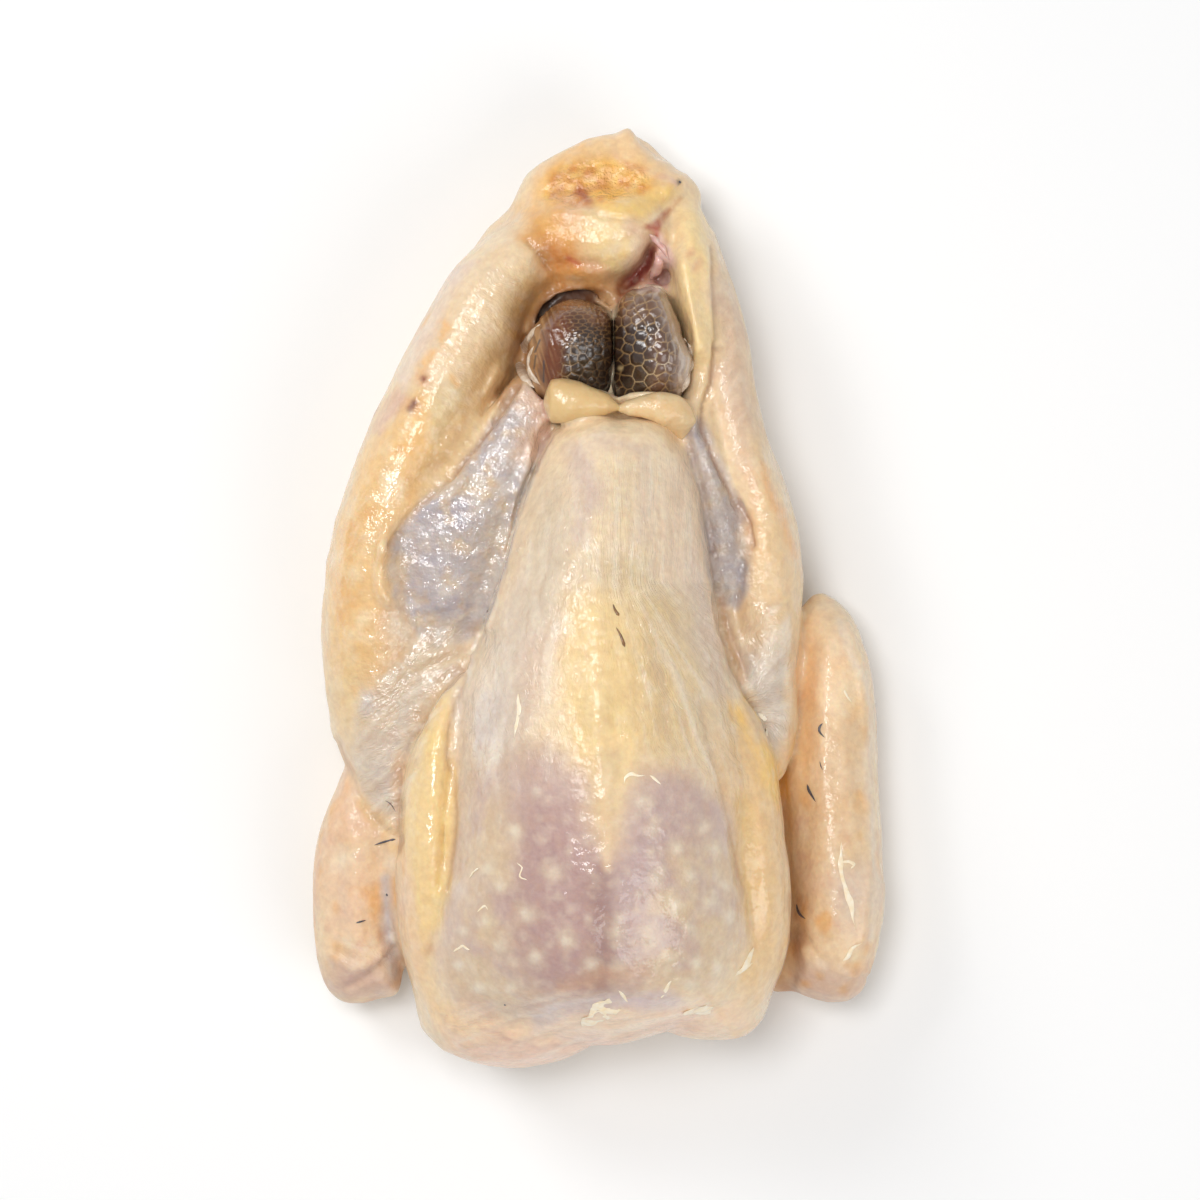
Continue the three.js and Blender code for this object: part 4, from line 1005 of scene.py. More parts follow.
# How wet and finely puckered the skin is from place to place.
PLAIN_WETNESS = 0.4
wet = np.full(len(points), PLAIN_WETNESS)
for outline, amount in (
    (LEFT_DRUMSTICK, 1.0),
    (RIGHT_DRUMSTICK, 0.8),
    ([(-76.1, 2.8), (-70.8, 27.8), (-55.6, 41.7), (-54.2, 16.7), (-55.6, 0), (-50, -13.9),
      (-55.6, -27.8), (-70.8, -27.8)], 0.85),
    ([(-55.6, -5.6), (-33.3, 0), (-34.7, -16.7), (-44.4, -27.8), (-52.8, -38.9),
      (-61.1, -27.8)], 0.9),
    ([(-11.1, 38.3), (0, 41.7), (1.9, 16.7), (-2.2, -5.6), (-12.5, -13.9), (-19.4, -5.6),
      (-16.7, 16.7)], 0.9),
    ([(-33.3, -8.3), (-14.4, -8.3), (-16.7, -38.9), (-27.8, -47.2), (-37.2, -44.4)], 0.9),
    ([(-6.1, 1.1), (1.7, 1.1), (2.8, -27.8), (-4.2, -30.6)], 0.55),
    ([(-11.1, 41.7), (25, 40), (31.1, 11.1), (32.2, -11.1), (11.1, 0), (0, 11.1)], 0.75),
    ([(11.1, 0), (33.3, -11.1), (27.8, -44.4), (11.1, -27.8)], 0.6),
    ([(23.3, 95.8), (27.8, 93.9), (28.9, 75), (23.9, 77.8)], 0.9),
    ([(37.5, 11.1), (48.6, 11.1), (55.6, -11.1), (52.8, -41.7), (41.7, -25)], 0.8),
    ([(40.3, 47.2), (48.6, 41.7), (52.8, 22.2), (43.1, 15.3)], 0.7),
    (CRATER, 1.0),
    ([(-27.8, 97.2), (-15.3, 97.2), (-22.2, 75), (-47.2, 47.2), (-58.3, 44.4), (-44.4, 77.8)], 0.5),
):
    wet = np.maximum(wet, amount * patch(loose, outline, 4))
for outline in (RIGHT_WING, LEFT_WING):
    wet *= 1 - 0.55 * patch(loose, outline, 3)
wet *= 1 - 0.8 * patch(seen, PIT_EDGE, 2)
wet *= 1 - 0.5 * patch(seen, [(-22.2, 11.1), (11.1, 2.8), (11.1, -33.3), (-11.1, -38.9),
                              (-23.6, -22.2)], 7)
wet *= 1 - 0.6 * patch(seen, [(-19.4, -36.1), (11.1, -36.1), (11.1, -72.2), (-19.4, -72.2)], 7)
wet *= 1 - 0.5 * patch(seen, [(31.9, 83.3), (43.1, 83.3), (44.4, 36.1), (33.3, 44.4)], 5)
feel = np.stack([lined, np.maximum(crinkled, 0.6 * thigh_crinkle), lumpy, raw], axis=1)
keep_colours(skin, "tint", tint)
keep_colours(skin, "feel", feel)
keep_colours(skin, "lines", np.stack([across, along, wet * (0.3 + 0.7 * calm), calm], axis=1))

def new_finish(name):
    """A new finish. The nodes made after this are its own, until the next one is begun."""
    global nodes, links
    finish = bpy.data.materials.new(name)
    finish.use_nodes = True
    nodes, links = finish.node_tree.nodes, finish.node_tree.links
    return finish, nodes["Principled BSDF"]


def joined(made, values):
    """The node, with its sockets joined to another node or set to a value."""
    for key, value in values.items():
        socket = made.inputs[key]
        if isinstance(value, bpy.types.NodeSocket):
            links.new(value, socket)
        else:
            socket.default_value = value
    return made


def node(kind, **values):
    return joined(nodes.new("ShaderNode" + kind), values)


def sums(kind, first, second, third=0.0):
    """One step of arithmetic between sockets or numbers."""
    made = nodes.new("ShaderNodeMath")
    made.operation = kind
    return joined(made, {0: first, 1: second, 2: third}).outputs[0]


def mixed_colour(kind, share, first, second):
    """Two colours mixed by a share, or the first multiplied by the second."""
    made = nodes.new("ShaderNodeMix")
    made.data_type = "RGBA"
    made.blend_type = kind
    return joined(made, {"Factor": share, "A": first, "B": second}).outputs["Result"]


def bumped(height):
    """The way that the surface faces, once it stands up by that height in mm."""
    return node("Bump", Strength=1.0, Distance=MM, Height=height).outputs["Normal"]


def set_shine(surface, roughness, coat_roughness, coat_ior, level):
    """How dull the surface itself is, and how clear and bright the wet film on it."""
    surface.inputs["Roughness"].default_value = roughness
    surface.inputs["Coat Roughness"].default_value = coat_roughness
    surface.inputs["Coat IOR"].default_value = coat_ior
    surface.inputs["Specular IOR Level"].default_value = level


def noise_at(place, size, detail=3.0, roughness=0.5):
    """Noise from 0 to 1 with features of that size, in the same unit as the places."""
    made = node("TexNoise", Scale=1 / size, Detail=detail, Roughness=roughness)
    links.new(place, made.inputs["Vector"])
    return made.outputs["Factor" if "Factor" in made.outputs else "Fac"]


def carried(name):
    """The values kept on the piece under that name."""
    made = nodes.new("ShaderNodeAttribute")
    made.attribute_name = name
    return made


# The skin's own finish reads its colour, its feel and the way of its lines from the mesh.
skin_finish, shader = new_finish("raw_skin")
place = node("TexCoord").outputs["Object"]
feel_read = node("SeparateColor", Color=carried("feel").outputs["Color"])
feel_lined, feel_crinkled, feel_lumpy = feel_read.outputs[:3]
line_read = node("SeparateXYZ", Vector=carried("lines").outputs["Vector"])
wetness = line_read.outputs["Z"]
calm_read = carried("lines").outputs["Alpha"]
feel_raw = carried("feel").outputs["Alpha"]


def drawn_out(ratio, wander, seed):
    """Places measured across and along the lines of the skin, which stray by that much in mm."""
    stray = sums("MULTIPLY_ADD", noise_at(place, 0.007, 2.0), wander, seed)
    sideways = sums("ADD", line_read.outputs["X"], stray)
    lengthways = sums("MULTIPLY", line_read.outputs["Y"], ratio)
    return node("CombineXYZ", X=sideways, Y=lengthways, Z=seed).outputs["Vector"]


def raised(height, textures):
    """A height with each texture added, by how many mm it stands up there."""
    for texture, rise in textures:
        height = sums("ADD", height, sums("MULTIPLY", texture, rise))
    return height


fine_lines = noise_at(drawn_out(0.17, 6.0, 3.0), 0.85, 3.0, 0.6)
height = raised(0.0, (
    (fine_lines, sums("MULTIPLY", sums("MULTIPLY_ADD", feel_lined, 0.56, 0.02), calm_read)),
    (noise_at(place, 0.0019, 2.0, 0.5), sums("MULTIPLY_ADD", feel_crinkled, 0.5, 0.03)),
    (noise_at(place, 0.0016, 2.0, 0.5), sums("MULTIPLY_ADD", feel_lumpy, 0.24, 0.1)),
    (noise_at(place, 0.0034, 2.0), 0.34),
    (noise_at(place, 0.0014, 2.0, 0.5), sums("MULTIPLY", feel_raw, 0.7)),
))
links.new(bumped(height), shader.inputs["Normal"])
# The wet film on it has puckers and glints of its own.
wet_height = raised(height, (
    (noise_at(drawn_out(0.5, 2.0, 11.0), 1.2, 2.0, 0.45), sums("MULTIPLY", wetness, 0.46)),
    (noise_at(drawn_out(0.4, 3.0, 5.0), 1.6, 1.0, 0.4), sums("MULTIPLY", feel_crinkled, 0.3)),
))
links.new(bumped(wet_height), shader.inputs["Coat Normal"])

# It is flecked a little, as fat and flesh show through thin skin.
DULL_FLECK, BRIGHT_FLECK = (0.94, 0.92, 0.93, 1), (1.04, 1.05, 1.045, 1)
fleck_share = sums("MULTIPLY_ADD", noise_at(place, 0.0018, 4.0, 0.55), 3.0, -1.0)
flecks = mixed_colour("MIX", fleck_share, DULL_FLECK, BRIGHT_FLECK)
links.new(mixed_colour("MULTIPLY", 1.0, carried("tint").outputs["Color"], flecks),
          shader.inputs["Base Color"])
set_shine(shader, 0.5, 0.07, 1.9, 0.3)
shader.inputs["Subsurface Weight"].default_value = 0.25
shader.inputs["Subsurface Radius"].default_value = (1.0, 0.45, 0.25)
shader.inputs["Subsurface Scale"].default_value = 0.002
LEAST_WET = 0.12
wet = sums("MULTIPLY", wetness, sums("MULTIPLY_ADD", noise_at(place, 0.008, 2.0), 2.8, -0.2))
links.new(sums("MINIMUM", sums("MAXIMUM", wet, LEAST_WET), 1.0), shader.inputs["Coat Weight"])
skin.data.materials.append(skin_finish)
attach(skin, "root")
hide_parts("carcass")

# --- The hocks ----------------------------------------------------------------------------------
# The two knobs where the feet were cut off, tucked in side by side at the vent. Their dry dark
# skin is divided into six-sided scales with paler skin between them, worn thin at the outside.
HOCK_CELL = 0.3
HOCK_ROUNDS = 6
ROW_STEP = 0.87  # between rows of scales, as a share of the gap between scales


def scale_borders(seen, middles):
    """How far each place is from the border between its two nearest scales, in mm, and which."""
    nearest = np.full(len(seen), 1e9)
    second = np.full(len(seen), 1e9)
    owner = np.zeros(len(seen), int)
    for number, middle in enumerate(middles):
        distance = np.hypot(seen[:, 0] - middle[0], seen[:, 1] - middle[1])
        closer = distance < nearest
        second = np.where(closer, nearest, np.minimum(second, distance))
        owner = np.where(closer, number, owner)
        nearest = np.where(closer, distance, nearest)
    return (second - nearest) / 2, owner


def with_filler(middles, spacing, low_corner, high_corner, keep, seed):
    """The scales as listed, and more round them to cover the rest of a rectangle."""
    draw = np.random.default_rng(seed)
    filled = list(middles)
    for row, height in enumerate(np.arange(low_corner[1], high_corner[1], spacing * ROW_STEP)):
        for place in np.arange(low_corner[0], high_corner[0], spacing):
            shift = draw.uniform(-0.2, 0.2, 2) * spacing
            spot = (place + shift[0] + 0.5 * spacing * (row % 2), height + shift[1])
            if min(math.dist(spot, middle) for middle in middles) > keep:
                filled.append(spot)
    return filled


def worn_finish(name, roughness, bump_height, coat):
    """A glossy finish that reads its colours from the piece and has fine grain of its own."""
    finish, surface = new_finish(name)
    place = node("TexCoord").outputs["Object"]
    fine = noise_at(place, 0.0007, 3.0, 0.6)
    coarse = noise_at(place, 0.0021, 2.0)
    height = sums("ADD", sums("MULTIPLY", fine, bump_height), sums("MULTIPLY", coarse, bump_height))
    worn_surface = bumped(height)
    links.new(worn_surface, surface.inputs["Normal"])
    links.new(worn_surface, surface.inputs["Coat Normal"])
    freckles = sums("MULTIPLY_ADD", fine, 0.5, 0.75)
    links.new(mixed_colour("MULTIPLY", 1.0, carried("tint").outputs["Color"], freckles),
              surface.inputs["Base Color"])
    surface.inputs["Coat Weight"].default_value = coat
    set_shine(surface, roughness, 0.09, 1.8, 0.25)
    return finish


scaly = worn_finish("scaly_skin", 0.42, 0.1, 1.0)

# right hock: scales placed as they lie, in columns that run towards the tail
hock = drawn_again("hock_right", "hock_right_scales", HOCK_CELL, HOCK_ROUNDS)
points = points_of(hock)
normals = normals_of(hock)
seen = as_seen(points)
for line, width, way in (([(22.2, 87.2), (25.6, 75)], 9, (-2.4, -0.4, -0.4)), ([(3.9, 85.6),
                           (3.3, 80.6)], 3, (0.7, 0, 0)),
                         ([(11.1, 87.8), (15.3, 87.8)], 3, (0, -0.8, 0))):
    points += np.array(way) * stroke(seen, line, width)[:, None]
put_points(hock, points)
normals = normals_of(hock)
seen = as_seen(points)
SCALE_GAP, LEFT_SCALE_GAP = 2.6, 2.3
SCALE_HEIGHT, LEFT_SCALE_HEIGHT, GROOVE_DEPTH = 0.22, 0.2, 0.1
RIGHT_SCALES = [(10.7, 83.1), (8.4, 81.7), (11.5, 81.1), (8.9, 79.8), (12, 79.4), (7.5, 77.6),
                (10.1, 78), (13.4, 77.7), (8.6, 75.4), (11.5, 76.2), (14.1, 75.3), (8.1, 72.5),
                (11.4, 73.7), (14.3, 72.1), (16.8, 73.2), (7.5, 69.8), (11, 70.6), (16.6, 70.6),
                (6.6, 66.8), (10.1, 67.1), (14.2, 68.5), (17.3, 67.4), (7.6, 63.7), (10.8, 62.9),
                (14, 65), (16.9, 63.8), (7.3, 60.7), (11.1, 58.7), (14.5, 60.9), (17.5, 62.2),
                (8.1, 56.8), (13.3, 56.6), (15.9, 58.9), (4.7, 68.1), (5, 64.9), (5.3, 71.4),
                (5.8, 74.2)]
middles = with_filler(RIGHT_SCALES, SCALE_GAP, (-1, 46), (28, 90), 2.5, 91)
bend = np.stack([grain(points, 2.2, 92), grain(points, 2.2, 93)], axis=1)
border, owner = scale_borders(seen + 0.28 * bend, middles)
dome = ease(border / 1.1)
groove = 1 - ease((border - 0.02) / 0.2)
top = ease((normals[:, 2] + 0.1) / 0.4)
worn = patch(seen, [(18.3, 84.4), (27.8, 83.3), (27.8, 55.6), (21.1, 56.1), (20.6, 61.1),
                    (20.8, 69.4), (18.9, 76.4), (17.2, 82.2)], 3.0)
worn = np.maximum(worn, patch(seen, [(2.8, 91.7), (27.8, 91.7), (27.8, 86.1), (17.8, 84.4),
                                     (11.1, 85.6), (3.3, 84.4)], 1.2))
stray = grain(seen, 3.5, 90)
folds = grain(np.stack([seen[:, 0] / 0.7 + stray, seen[:, 1] / 4], axis=1), 1, 94)
folds += 0.6 * grain(seen, 1.1, 89)
relief = top * (1 - worn) * (SCALE_HEIGHT * dome - GROOVE_DEPTH * groove) + worn * 0.16 * folds
points = points + normals * (relief + 0.12 * mixed_grain(points, 4, 95))[:, None]
put_points(hock, points)

loosen = np.stack([mixed_grain(points, 6, 96), mixed_grain(points, 6, 98)], axis=1)
loose = seen + 1.0 * loosen
shown = np.ones(len(points))
tint = np.ones((len(points), 4))
tint[:, :3] = shade((74, 46, 30))
uneven = np.random.default_rng(97).uniform(-1, 1, len(middles))[owner]
paint(ease(uneven), (50, 32, 22), 0.6)
paint(stroke(loose, [(6.1, 75), (6.1, 63.9), (8.3, 56.7)], 4.5), (40, 26, 19), 0.8)
paint(stroke(loose, [(11.1, 76.4), (10, 68.1), (11.1, 59.7)], 5.5), (42, 27, 19), 0.8)
paint(stroke(loose, [(15.8, 72.2), (17.2, 65.3), (16.1, 59.4)], 4), (116, 80, 60), 0.7)
paint(patch(loose, [(3.3, 86.1), (13.9, 87.5), (16.7, 83.3), (13.9, 77.2), (5.6, 77.2)], 2),
                    (120, 84, 60), 0.7)
paint(patch(loose, [(13.9, 86.1), (18.9, 84.4), (20, 75), (17.2, 75), (15.3, 80.6)], 2),
                    (150, 124, 108), 0.7)
paint(ease(folds) * patch(loose, [(17.8, 77.8), (27.8, 77.8), (27.8, 55.6), (16.7, 55.6)], 2),
                                  (120, 100, 96), 0.4)
paint(groove, (178, 142, 94), 0.7)
paint(groove * stroke(loose, [(11.1, 61.7), (14.4, 63.9), (16.7, 66.7)], 5), (206, 184, 146), 0.7)
paint(groove * stroke(loose, [(5, 72.2), (5, 63.9), (7.2, 56.1)], 3), (120, 88, 50), 0.6)
paint(worn, (160, 130, 108), 0.8)
paint(worn * ease(folds * 1.4), (128, 100, 82), 0.6)
paint(worn * ease(-folds * 1.5), (208, 190, 172), 0.6)
paint(worn * stroke(loose, [(22.2, 75), (24.4, 69.4), (24.4, 61.1)], 3), (216, 204, 192), 0.6)
paint(stroke(loose, [(19.7, 80.6), (21.7, 75), (25, 70.8)], 2.5), (168, 132, 106), 0.7)
paint(stroke(seen, [(11.1, 85.8), (13.9, 86.9), (17.2, 86.1)], 1.4), (222, 206, 196), 0.9)
paint(dots(seen, [(5.8, 64.4)], 1.2), (206, 178, 128), 0.9)
# Painted shade, darker towards the bottom where the hock stands in the pit.
paint(ease((50 - points[:, 2]) / 8), (70, 48, 38), 0.7)
keep_colours(hock, "tint", tint)
hock.data.materials.append(scaly)
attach(hock, "root")
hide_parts("hock_right")

# left hock: scales worn smooth towards its outside, bumpy and shining beside the right one
hock = drawn_again("hock_left", "hock_left_scales", HOCK_CELL, HOCK_ROUNDS)
points = points_of(hock)
seen = as_seen(points)
points[:, 1] -= 1.1 * stroke(seen, [(-16.1, 78.9), (-12.2, 83.1), (-6.9, 85), (-2.2, 85),
                                    (1.7, 82.2)], 5)
put_points(hock, points)
normals = normals_of(hock)
seen = as_seen(points)
LEFT_SCALES = [(-6.6, 69.2), (-7.3, 66.9), (-6.4, 64.5), (-7.3, 61.9), (-9.3, 64.1), (-5, 66.7),
               (-3, 71.6), (-5.8, 69.6), (-0.6, 70), (1.7, 68.9), (-2.8, 68.9), (-9.4, 66.7)]
middles = with_filler(LEFT_SCALES, LEFT_SCALE_GAP, (-23, 45), (7, 87), 2.1, 101)
bend = np.stack([grain(points, 2.6, 102), grain(points, 2.6, 103)], axis=1)
border, owner = scale_borders(seen + 0.5 * bend, middles)
dome = ease(border / 0.9)
groove = 1 - ease((border - 0.02) / 0.18)
top = ease((normals[:, 2] + 0.1) / 0.4)
scaled = patch(seen, [(-11.1, 70.8), (-6.9, 72.8), (0, 72.8), (4.2, 70.8), (4.2, 52.8),
                      (-11.1, 55.6), (-11.1, 63.9)], 2.2)
flattened = seen * [1, 2.1] + 0.7 * bend
rows = with_filler([(-9, 160)], 2.6, (-23, 95), (7, 185), 2.1, 112)
row_border, _ = scale_borders(flattened, rows)
rowed = patch(seen, [(-12.2, 77.2), (-10.6, 82.2), (-2.8, 83.3), (3.3, 80), (5, 70.8), (0, 70.6),
                     (-6.9, 70.6), (-10.6, 69.4)], 1.6)
row_groove = (1 - ease((row_border - 0.02) / 0.3)) * rowed
fibres = grain(np.stack([(seen[:, 0] + 0.3 * seen[:, 1]) / 0.55, seen[:, 1] / 5], axis=1), 1, 104)
bumpy = patch(seen, [(-7.8, 70.8), (0, 75), (3.3, 70.8), (4.4, 54.2), (-2.8, 55.6),
                     (-7.8, 59.7)], 2.5)
FIBRE_HEIGHT, ROW_GROOVE_DEPTH = 0.12, 0.16
relief = top * scaled * (LEFT_SCALE_HEIGHT * dome - GROOVE_DEPTH * groove)
relief += (1 - scaled) * FIBRE_HEIGHT * fibres
relief += top * bumpy * 0.3 * mixed_grain(points, 1.9, 105) - ROW_GROOVE_DEPTH * row_groove
points = points + normals * (relief + 0.15 * mixed_grain(points, 5, 106))[:, None]
put_points(hock, points)

loosen = np.stack([mixed_grain(points, 6, 107), mixed_grain(points, 6, 109)], axis=1)
loose = seen + 1.2 * loosen
shown = np.ones(len(points))
tint = np.ones((len(points), 4))
tint[:, :3] = shade((70, 40, 20))
paint(patch(loose, [(-15.3, 77.8), (-9.4, 81.9), (-7.8, 75), (-10.6, 61.1), (-15.3, 57.8),
                    (-18.9, 63.9), (-18.9, 70.8)], 3),
      (112, 52, 8), 0.95)
paint(stroke(loose, [(-10.6, 81.7), (-5.6, 81.9), (0, 78.3)], 3.5), (132, 88, 58), 0.6)
paint(patch(loose, [(-9.7, 70.8), (-4.2, 76.4), (3.3, 75), (4.4, 54.2), (-2.8, 55),
                    (-8.3, 58.9)], 3), (44, 30, 22), 0.95)
paint(bumpy * ease(mixed_grain(points, 3, 111) * 2), (52, 46, 44), 0.5)
paint(groove * scaled, (134, 100, 62), 0.5)
paint(groove * stroke(loose, [(-7.8, 68.9), (-8.9, 63.3), (-7.2, 60)], 3.5), (188, 160, 126), 0.6)
paint(row_groove, (164, 122, 74), 0.55)
outside = patch(loose, [(-23.6, 77.8), (-15.3, 79.2), (-15.3, 70.8), (-16.7, 65.3),
                        (-14.4, 57.8), (-23.6, 56.9)], 1.6)
paint(outside, (172, 126, 82), 0.75)
paint(ease(fibres * 1.6) * patch(loose, [(-23.6, 77.8), (-12.2, 82.8), (-13.3, 72.2),
                                         (-13.9, 57.8), (-23.6, 56.9)], 2),
      (188, 146, 98), 0.4)
paint(ease(-fibres * 1.6 - 0.2) * patch(loose, [(-23.6, 73.6), (-14.4, 76.4), (-13.3, 57.8),
                                                (-23.6, 56.9)], 2),
      (92, 62, 44), 0.6)
for line in ([(-15.6, 66.4), (-15.7, 60.6)], [(-16.7, 72.2), (-18.1, 68.9)], [(-17.8, 67.8),
              (-18.3, 64.4)]):
    paint(stroke(seen, line, 0.5), (54, 52, 58), 0.85)
# Painted shade, darker towards the bottom where the hock stands in the pit.
paint(ease((50 - points[:, 2]) / 8), (64, 40, 28), 0.7)
keep_colours(hock, "tint", tint)
hock.data.materials.append(scaly)
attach(hock, "root")
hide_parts("hock_left")

# --- The fat at the breast's end ----------------------------------------------------------------
# Two soft glossy lumps of fat that the hocks rest against, lying over the end of the breast. Each
# is a ball drawn out along a line, its widths and heights set along the way, and made uneven.
pieces_below = [skin] + [piece for piece in bpy.data.objects if piece.name.startswith("hock_")
                         and piece.name.endswith("_scales")]


def on_top(place):
    """Where the eye meets the bird at a seen place, and the slope there."""
    eye = np.array((0, 0, EYE_HEIGHT)) * MM
    way = np.array((place[0], place[1], EYE_PLANE)) * MM - eye
    way /= np.linalg.norm(way)
    best, slope = None, None
    for piece in pieces_below:
        hit, spot, normal, _ = piece.ray_cast(eye.tolist(), way.tolist())
        if hit and (best is None or spot[2] / MM > best[2]):
            best, slope = np.array(spot) / MM, np.array(normal)
    if best is None:
        best, slope = np.array((place[0], place[1], 1.0)), np.array((0, 0, 1.0))
    return best, slope


def between(values, shares):
    """Values along a smooth curve through evenly spaced ones."""
    values = np.array(values, float)
    if values.ndim == 1:
        values = values[:, None]
    padded = np.vstack([2 * values[0] - values[1], values, 2 * values[-1] - values[-2]])
    spot = np.clip(np.asarray(shares, float), 0, 1) * (len(values) - 1)
    start = np.minimum(spot.astype(int), len(values) - 2)
    part = (spot - start)[:, None]
    before, here, after, beyond = (padded[start + step] for step in range(4))
    return here + 0.5 * part * (
        after - before
        + part * (2 * before - 5 * here + 4 * after - beyond
                  + part * (3 * (here - after) + beyond - before))
    )


def drawn_out_ball(name, middles, sides, ups, widths, heights, rings=24, around=12):
    """A ball stretched along a line of middles (mm), with its half width and half height there."""
    bpy.ops.object.select_all(action="DESELECT")
    bpy.ops.mesh.primitive_uv_sphere_add(segments=around, ring_count=rings, radius=1)
    piece = bpy.context.object
    piece.name = name
    piece.data.name = name
    ball = points_of(piece) * MM
    share = np.arccos(np.clip(ball[:, 2], -1, 1)) / math.pi
    thick = np.sqrt(np.maximum(1 - ball[:, 2] ** 2, 1e-12))
    side_part, up_part = ball[:, 0] / thick, ball[:, 1] / thick
    blunt = np.minimum(1, thick * 2.2) ** 0.7
    blunt[thick < 1e-4] = 0
    middle = between(middles, share)
    side, up = between(sides, share), between(ups, share)
    width = between(widths, share)[:, 0] * blunt
    height = between(heights, share)[:, 0] * blunt
    across, upward = (side_part * width)[:, None], (up_part * height)[:, None]
    put_points(piece, middle + side * across + up * upward)
    bpy.ops.object.mode_set(mode="EDIT")
    bpy.ops.mesh.select_all(action="SELECT")
    bpy.ops.mesh.normals_make_consistent(inside=False)
    bpy.ops.object.mode_set(mode="OBJECT")
    bpy.ops.object.shade_smooth()
    return piece


def laid(name, line, widths, heights, lift=0.0, rings=24, around=8):
    """A string or flake laid along a line of seen places on the bird, flat against it."""
    spots, slopes = zip(*(on_top(place) for place in line))
    spots, slopes = np.array(spots), np.array(slopes)
    ways = np.gradient(spots, axis=0)
    sides = np.cross(ways, slopes)
    sides /= np.maximum(np.linalg.norm(sides, axis=1), 1e-9)[:, None]
    lifts = np.broadcast_to(lift, len(spots))
    middles = spots + slopes * lifts[:, None]
    return drawn_out_ball(name, middles, sides, slopes, widths, heights, rings, around)


def even_finish(name, colour, second_colour, size, roughness, coat, bump_height, clear=0.2):
    """A finish of two colours in soft patches of that size, with a wet coat."""
    finish, surface = new_finish(name)
    place = node("TexCoord").outputs["Object"]
    share = sums("MULTIPLY_ADD", noise_at(place, size, 3.0, 0.6), 3.0, -1.0)
    colours = (*shade(colour), 1), (*shade(second_colour), 1)
    links.new(mixed_colour("MIX", share, *colours), surface.inputs["Base Color"])
    uneven_surface = bumped(sums("MULTIPLY", noise_at(place, 0.0022, 3.0), bump_height))
    links.new(uneven_surface, surface.inputs["Normal"])
    links.new(uneven_surface, surface.inputs["Coat Normal"])
    surface.inputs["Roughness"].default_value = roughness
    surface.inputs["Coat Weight"].default_value = coat
    surface.inputs["Coat Roughness"].default_value = 0.1
    surface.inputs["Subsurface Weight"].default_value = clear
    surface.inputs["Subsurface Radius"].default_value = (1.0, 0.5, 0.25)
    surface.inputs["Subsurface Scale"].default_value = 0.003
    return finish


def made_uneven(piece, amount, size, seed, ragged=0.0):
    """Moves a piece's surface in and out by up to that many mm, and tears its edge."""
    points = points_of(piece)
    tears = np.stack([grain(points, size, seed + 5), grain(points, size, seed + 6)], axis=1)
    points += normals_of(piece) * (amount * mixed_grain(points, size, seed))[:, None]
    points[:, :2] += ragged * tears
    put_points(piece, points)


def added(piece, finish):
    """Gives a piece its finish and fixes it to the bird."""
    piece.data.materials.clear()
    piece.data.materials.append(finish)
    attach(piece, "root")


fat_finish = even_finish("yellow_fat", (228, 200, 146), (224, 188, 130), 0.008, 0.4, 0.9, 0.3, 0.3)


def seen_to_place(place, height):
    """The point at a known height that is seen at that place."""
    share = (EYE_HEIGHT - height) / (EYE_HEIGHT - EYE_PLANE)
    return np.array((place[0] * share, place[1] * share, height))


def fat_lump(name, line, heights_up, widths, heights, finish):
    middles = np.array([seen_to_place(place, up) for place, up in zip(line, heights_up)])
    ways = np.gradient(middles, axis=0)
    sides = np.cross(ways, (0, 0, 1.0))
    sides /= np.linalg.norm(sides, axis=1)[:, None]
    piece = drawn_out_ball(name, middles, sides, np.tile((0, 0, 1.0), (len(line), 1)),
                           widths, heights, 48, 32)
    made_uneven(piece, 0.35, 8, 121)
    added(piece, finish)
    return piece


left_fat = fat_lump(
    "fat_left", [(-15.8, 55.3), (-13.3, 55.3), (-10, 55.3), (-6.1, 55.3), (-2.2, 54.7),
                 (1.7, 54.2), (6.1, 53.1)],
    (54.5, 55.5, 56.5, 57, 57.5, 57.5, 57.5), (5.2, 5.9, 6.1, 5.3, 4.1, 3.0, 2.0),
    (5.2, 5.8, 5.9, 5.2, 4.1, 3.0, 2.0), fat_finish)
pale_fat_finish = even_finish(
    "peach_fat", (228, 204, 160), (226, 188, 136), 0.006, 0.42, 0.7, 0.5, 0.25)
right_fat = fat_lump(
    "fat_right", [(3.9, 53.1), (8.3, 53.3), (12.8, 53.6), (16.9, 53.3), (20.6, 51.9),
                  (22.5, 48.9), (22.8, 44.4)],
    (57, 57.5, 57.5, 57, 56, 54, 51), (1.8, 2.4, 3.4, 4.4, 4.8, 4.4, 3.2),
    (1.8, 2.4, 3.2, 4.0, 4.4, 4.2, 3.2),
    pale_fat_finish)
pieces_below += [left_fat, right_fat]

# --- Torn skin round the hocks ------------------------------------------------------------------
# Where the shank was cut, a whitish rim of skin and tendon is left round the outside of each
# hock. Each rim is a thin string laid along the edge of the scales, thickest at its middle.
rim_finish = even_finish("torn_rim", (232, 218, 200), (196, 168, 138), 0.0016, 0.5, 0.6, 0.3, 0.0)
RIMS = [
    ("rim_left", [(-16.4, 76.7), (-19.2, 73.3), (-21.1, 69.4), (-21.9, 65.3), (-20.8, 61.7),
                  (-18.1, 58.9)], (0.7, 1.5, 1.9, 1.8, 1.4, 0.8), 0.8),
    ("rim_left_inner", [(-18.3, 70.6), (-19.7, 66.7), (-19.2, 62.8),
                        (-16.4, 59.7)], (0.5, 1.0, 1.1, 0.5), 0.5),
    ("rim_right", [(23.1, 72.8), (25.3, 70), (25.6, 65.6), (24.2, 61.1),
                   (22.5, 57.5)], (0.5, 1.0, 1.2, 1.0, 0.5), 0.8),
    ("rim_right_top", [(10.6, 86.7), (13.3, 87.2), (16.7, 86.7),
                       (19.7, 84.4)], (0.5, 1.1, 1.1, 0.5), 0.5),
]
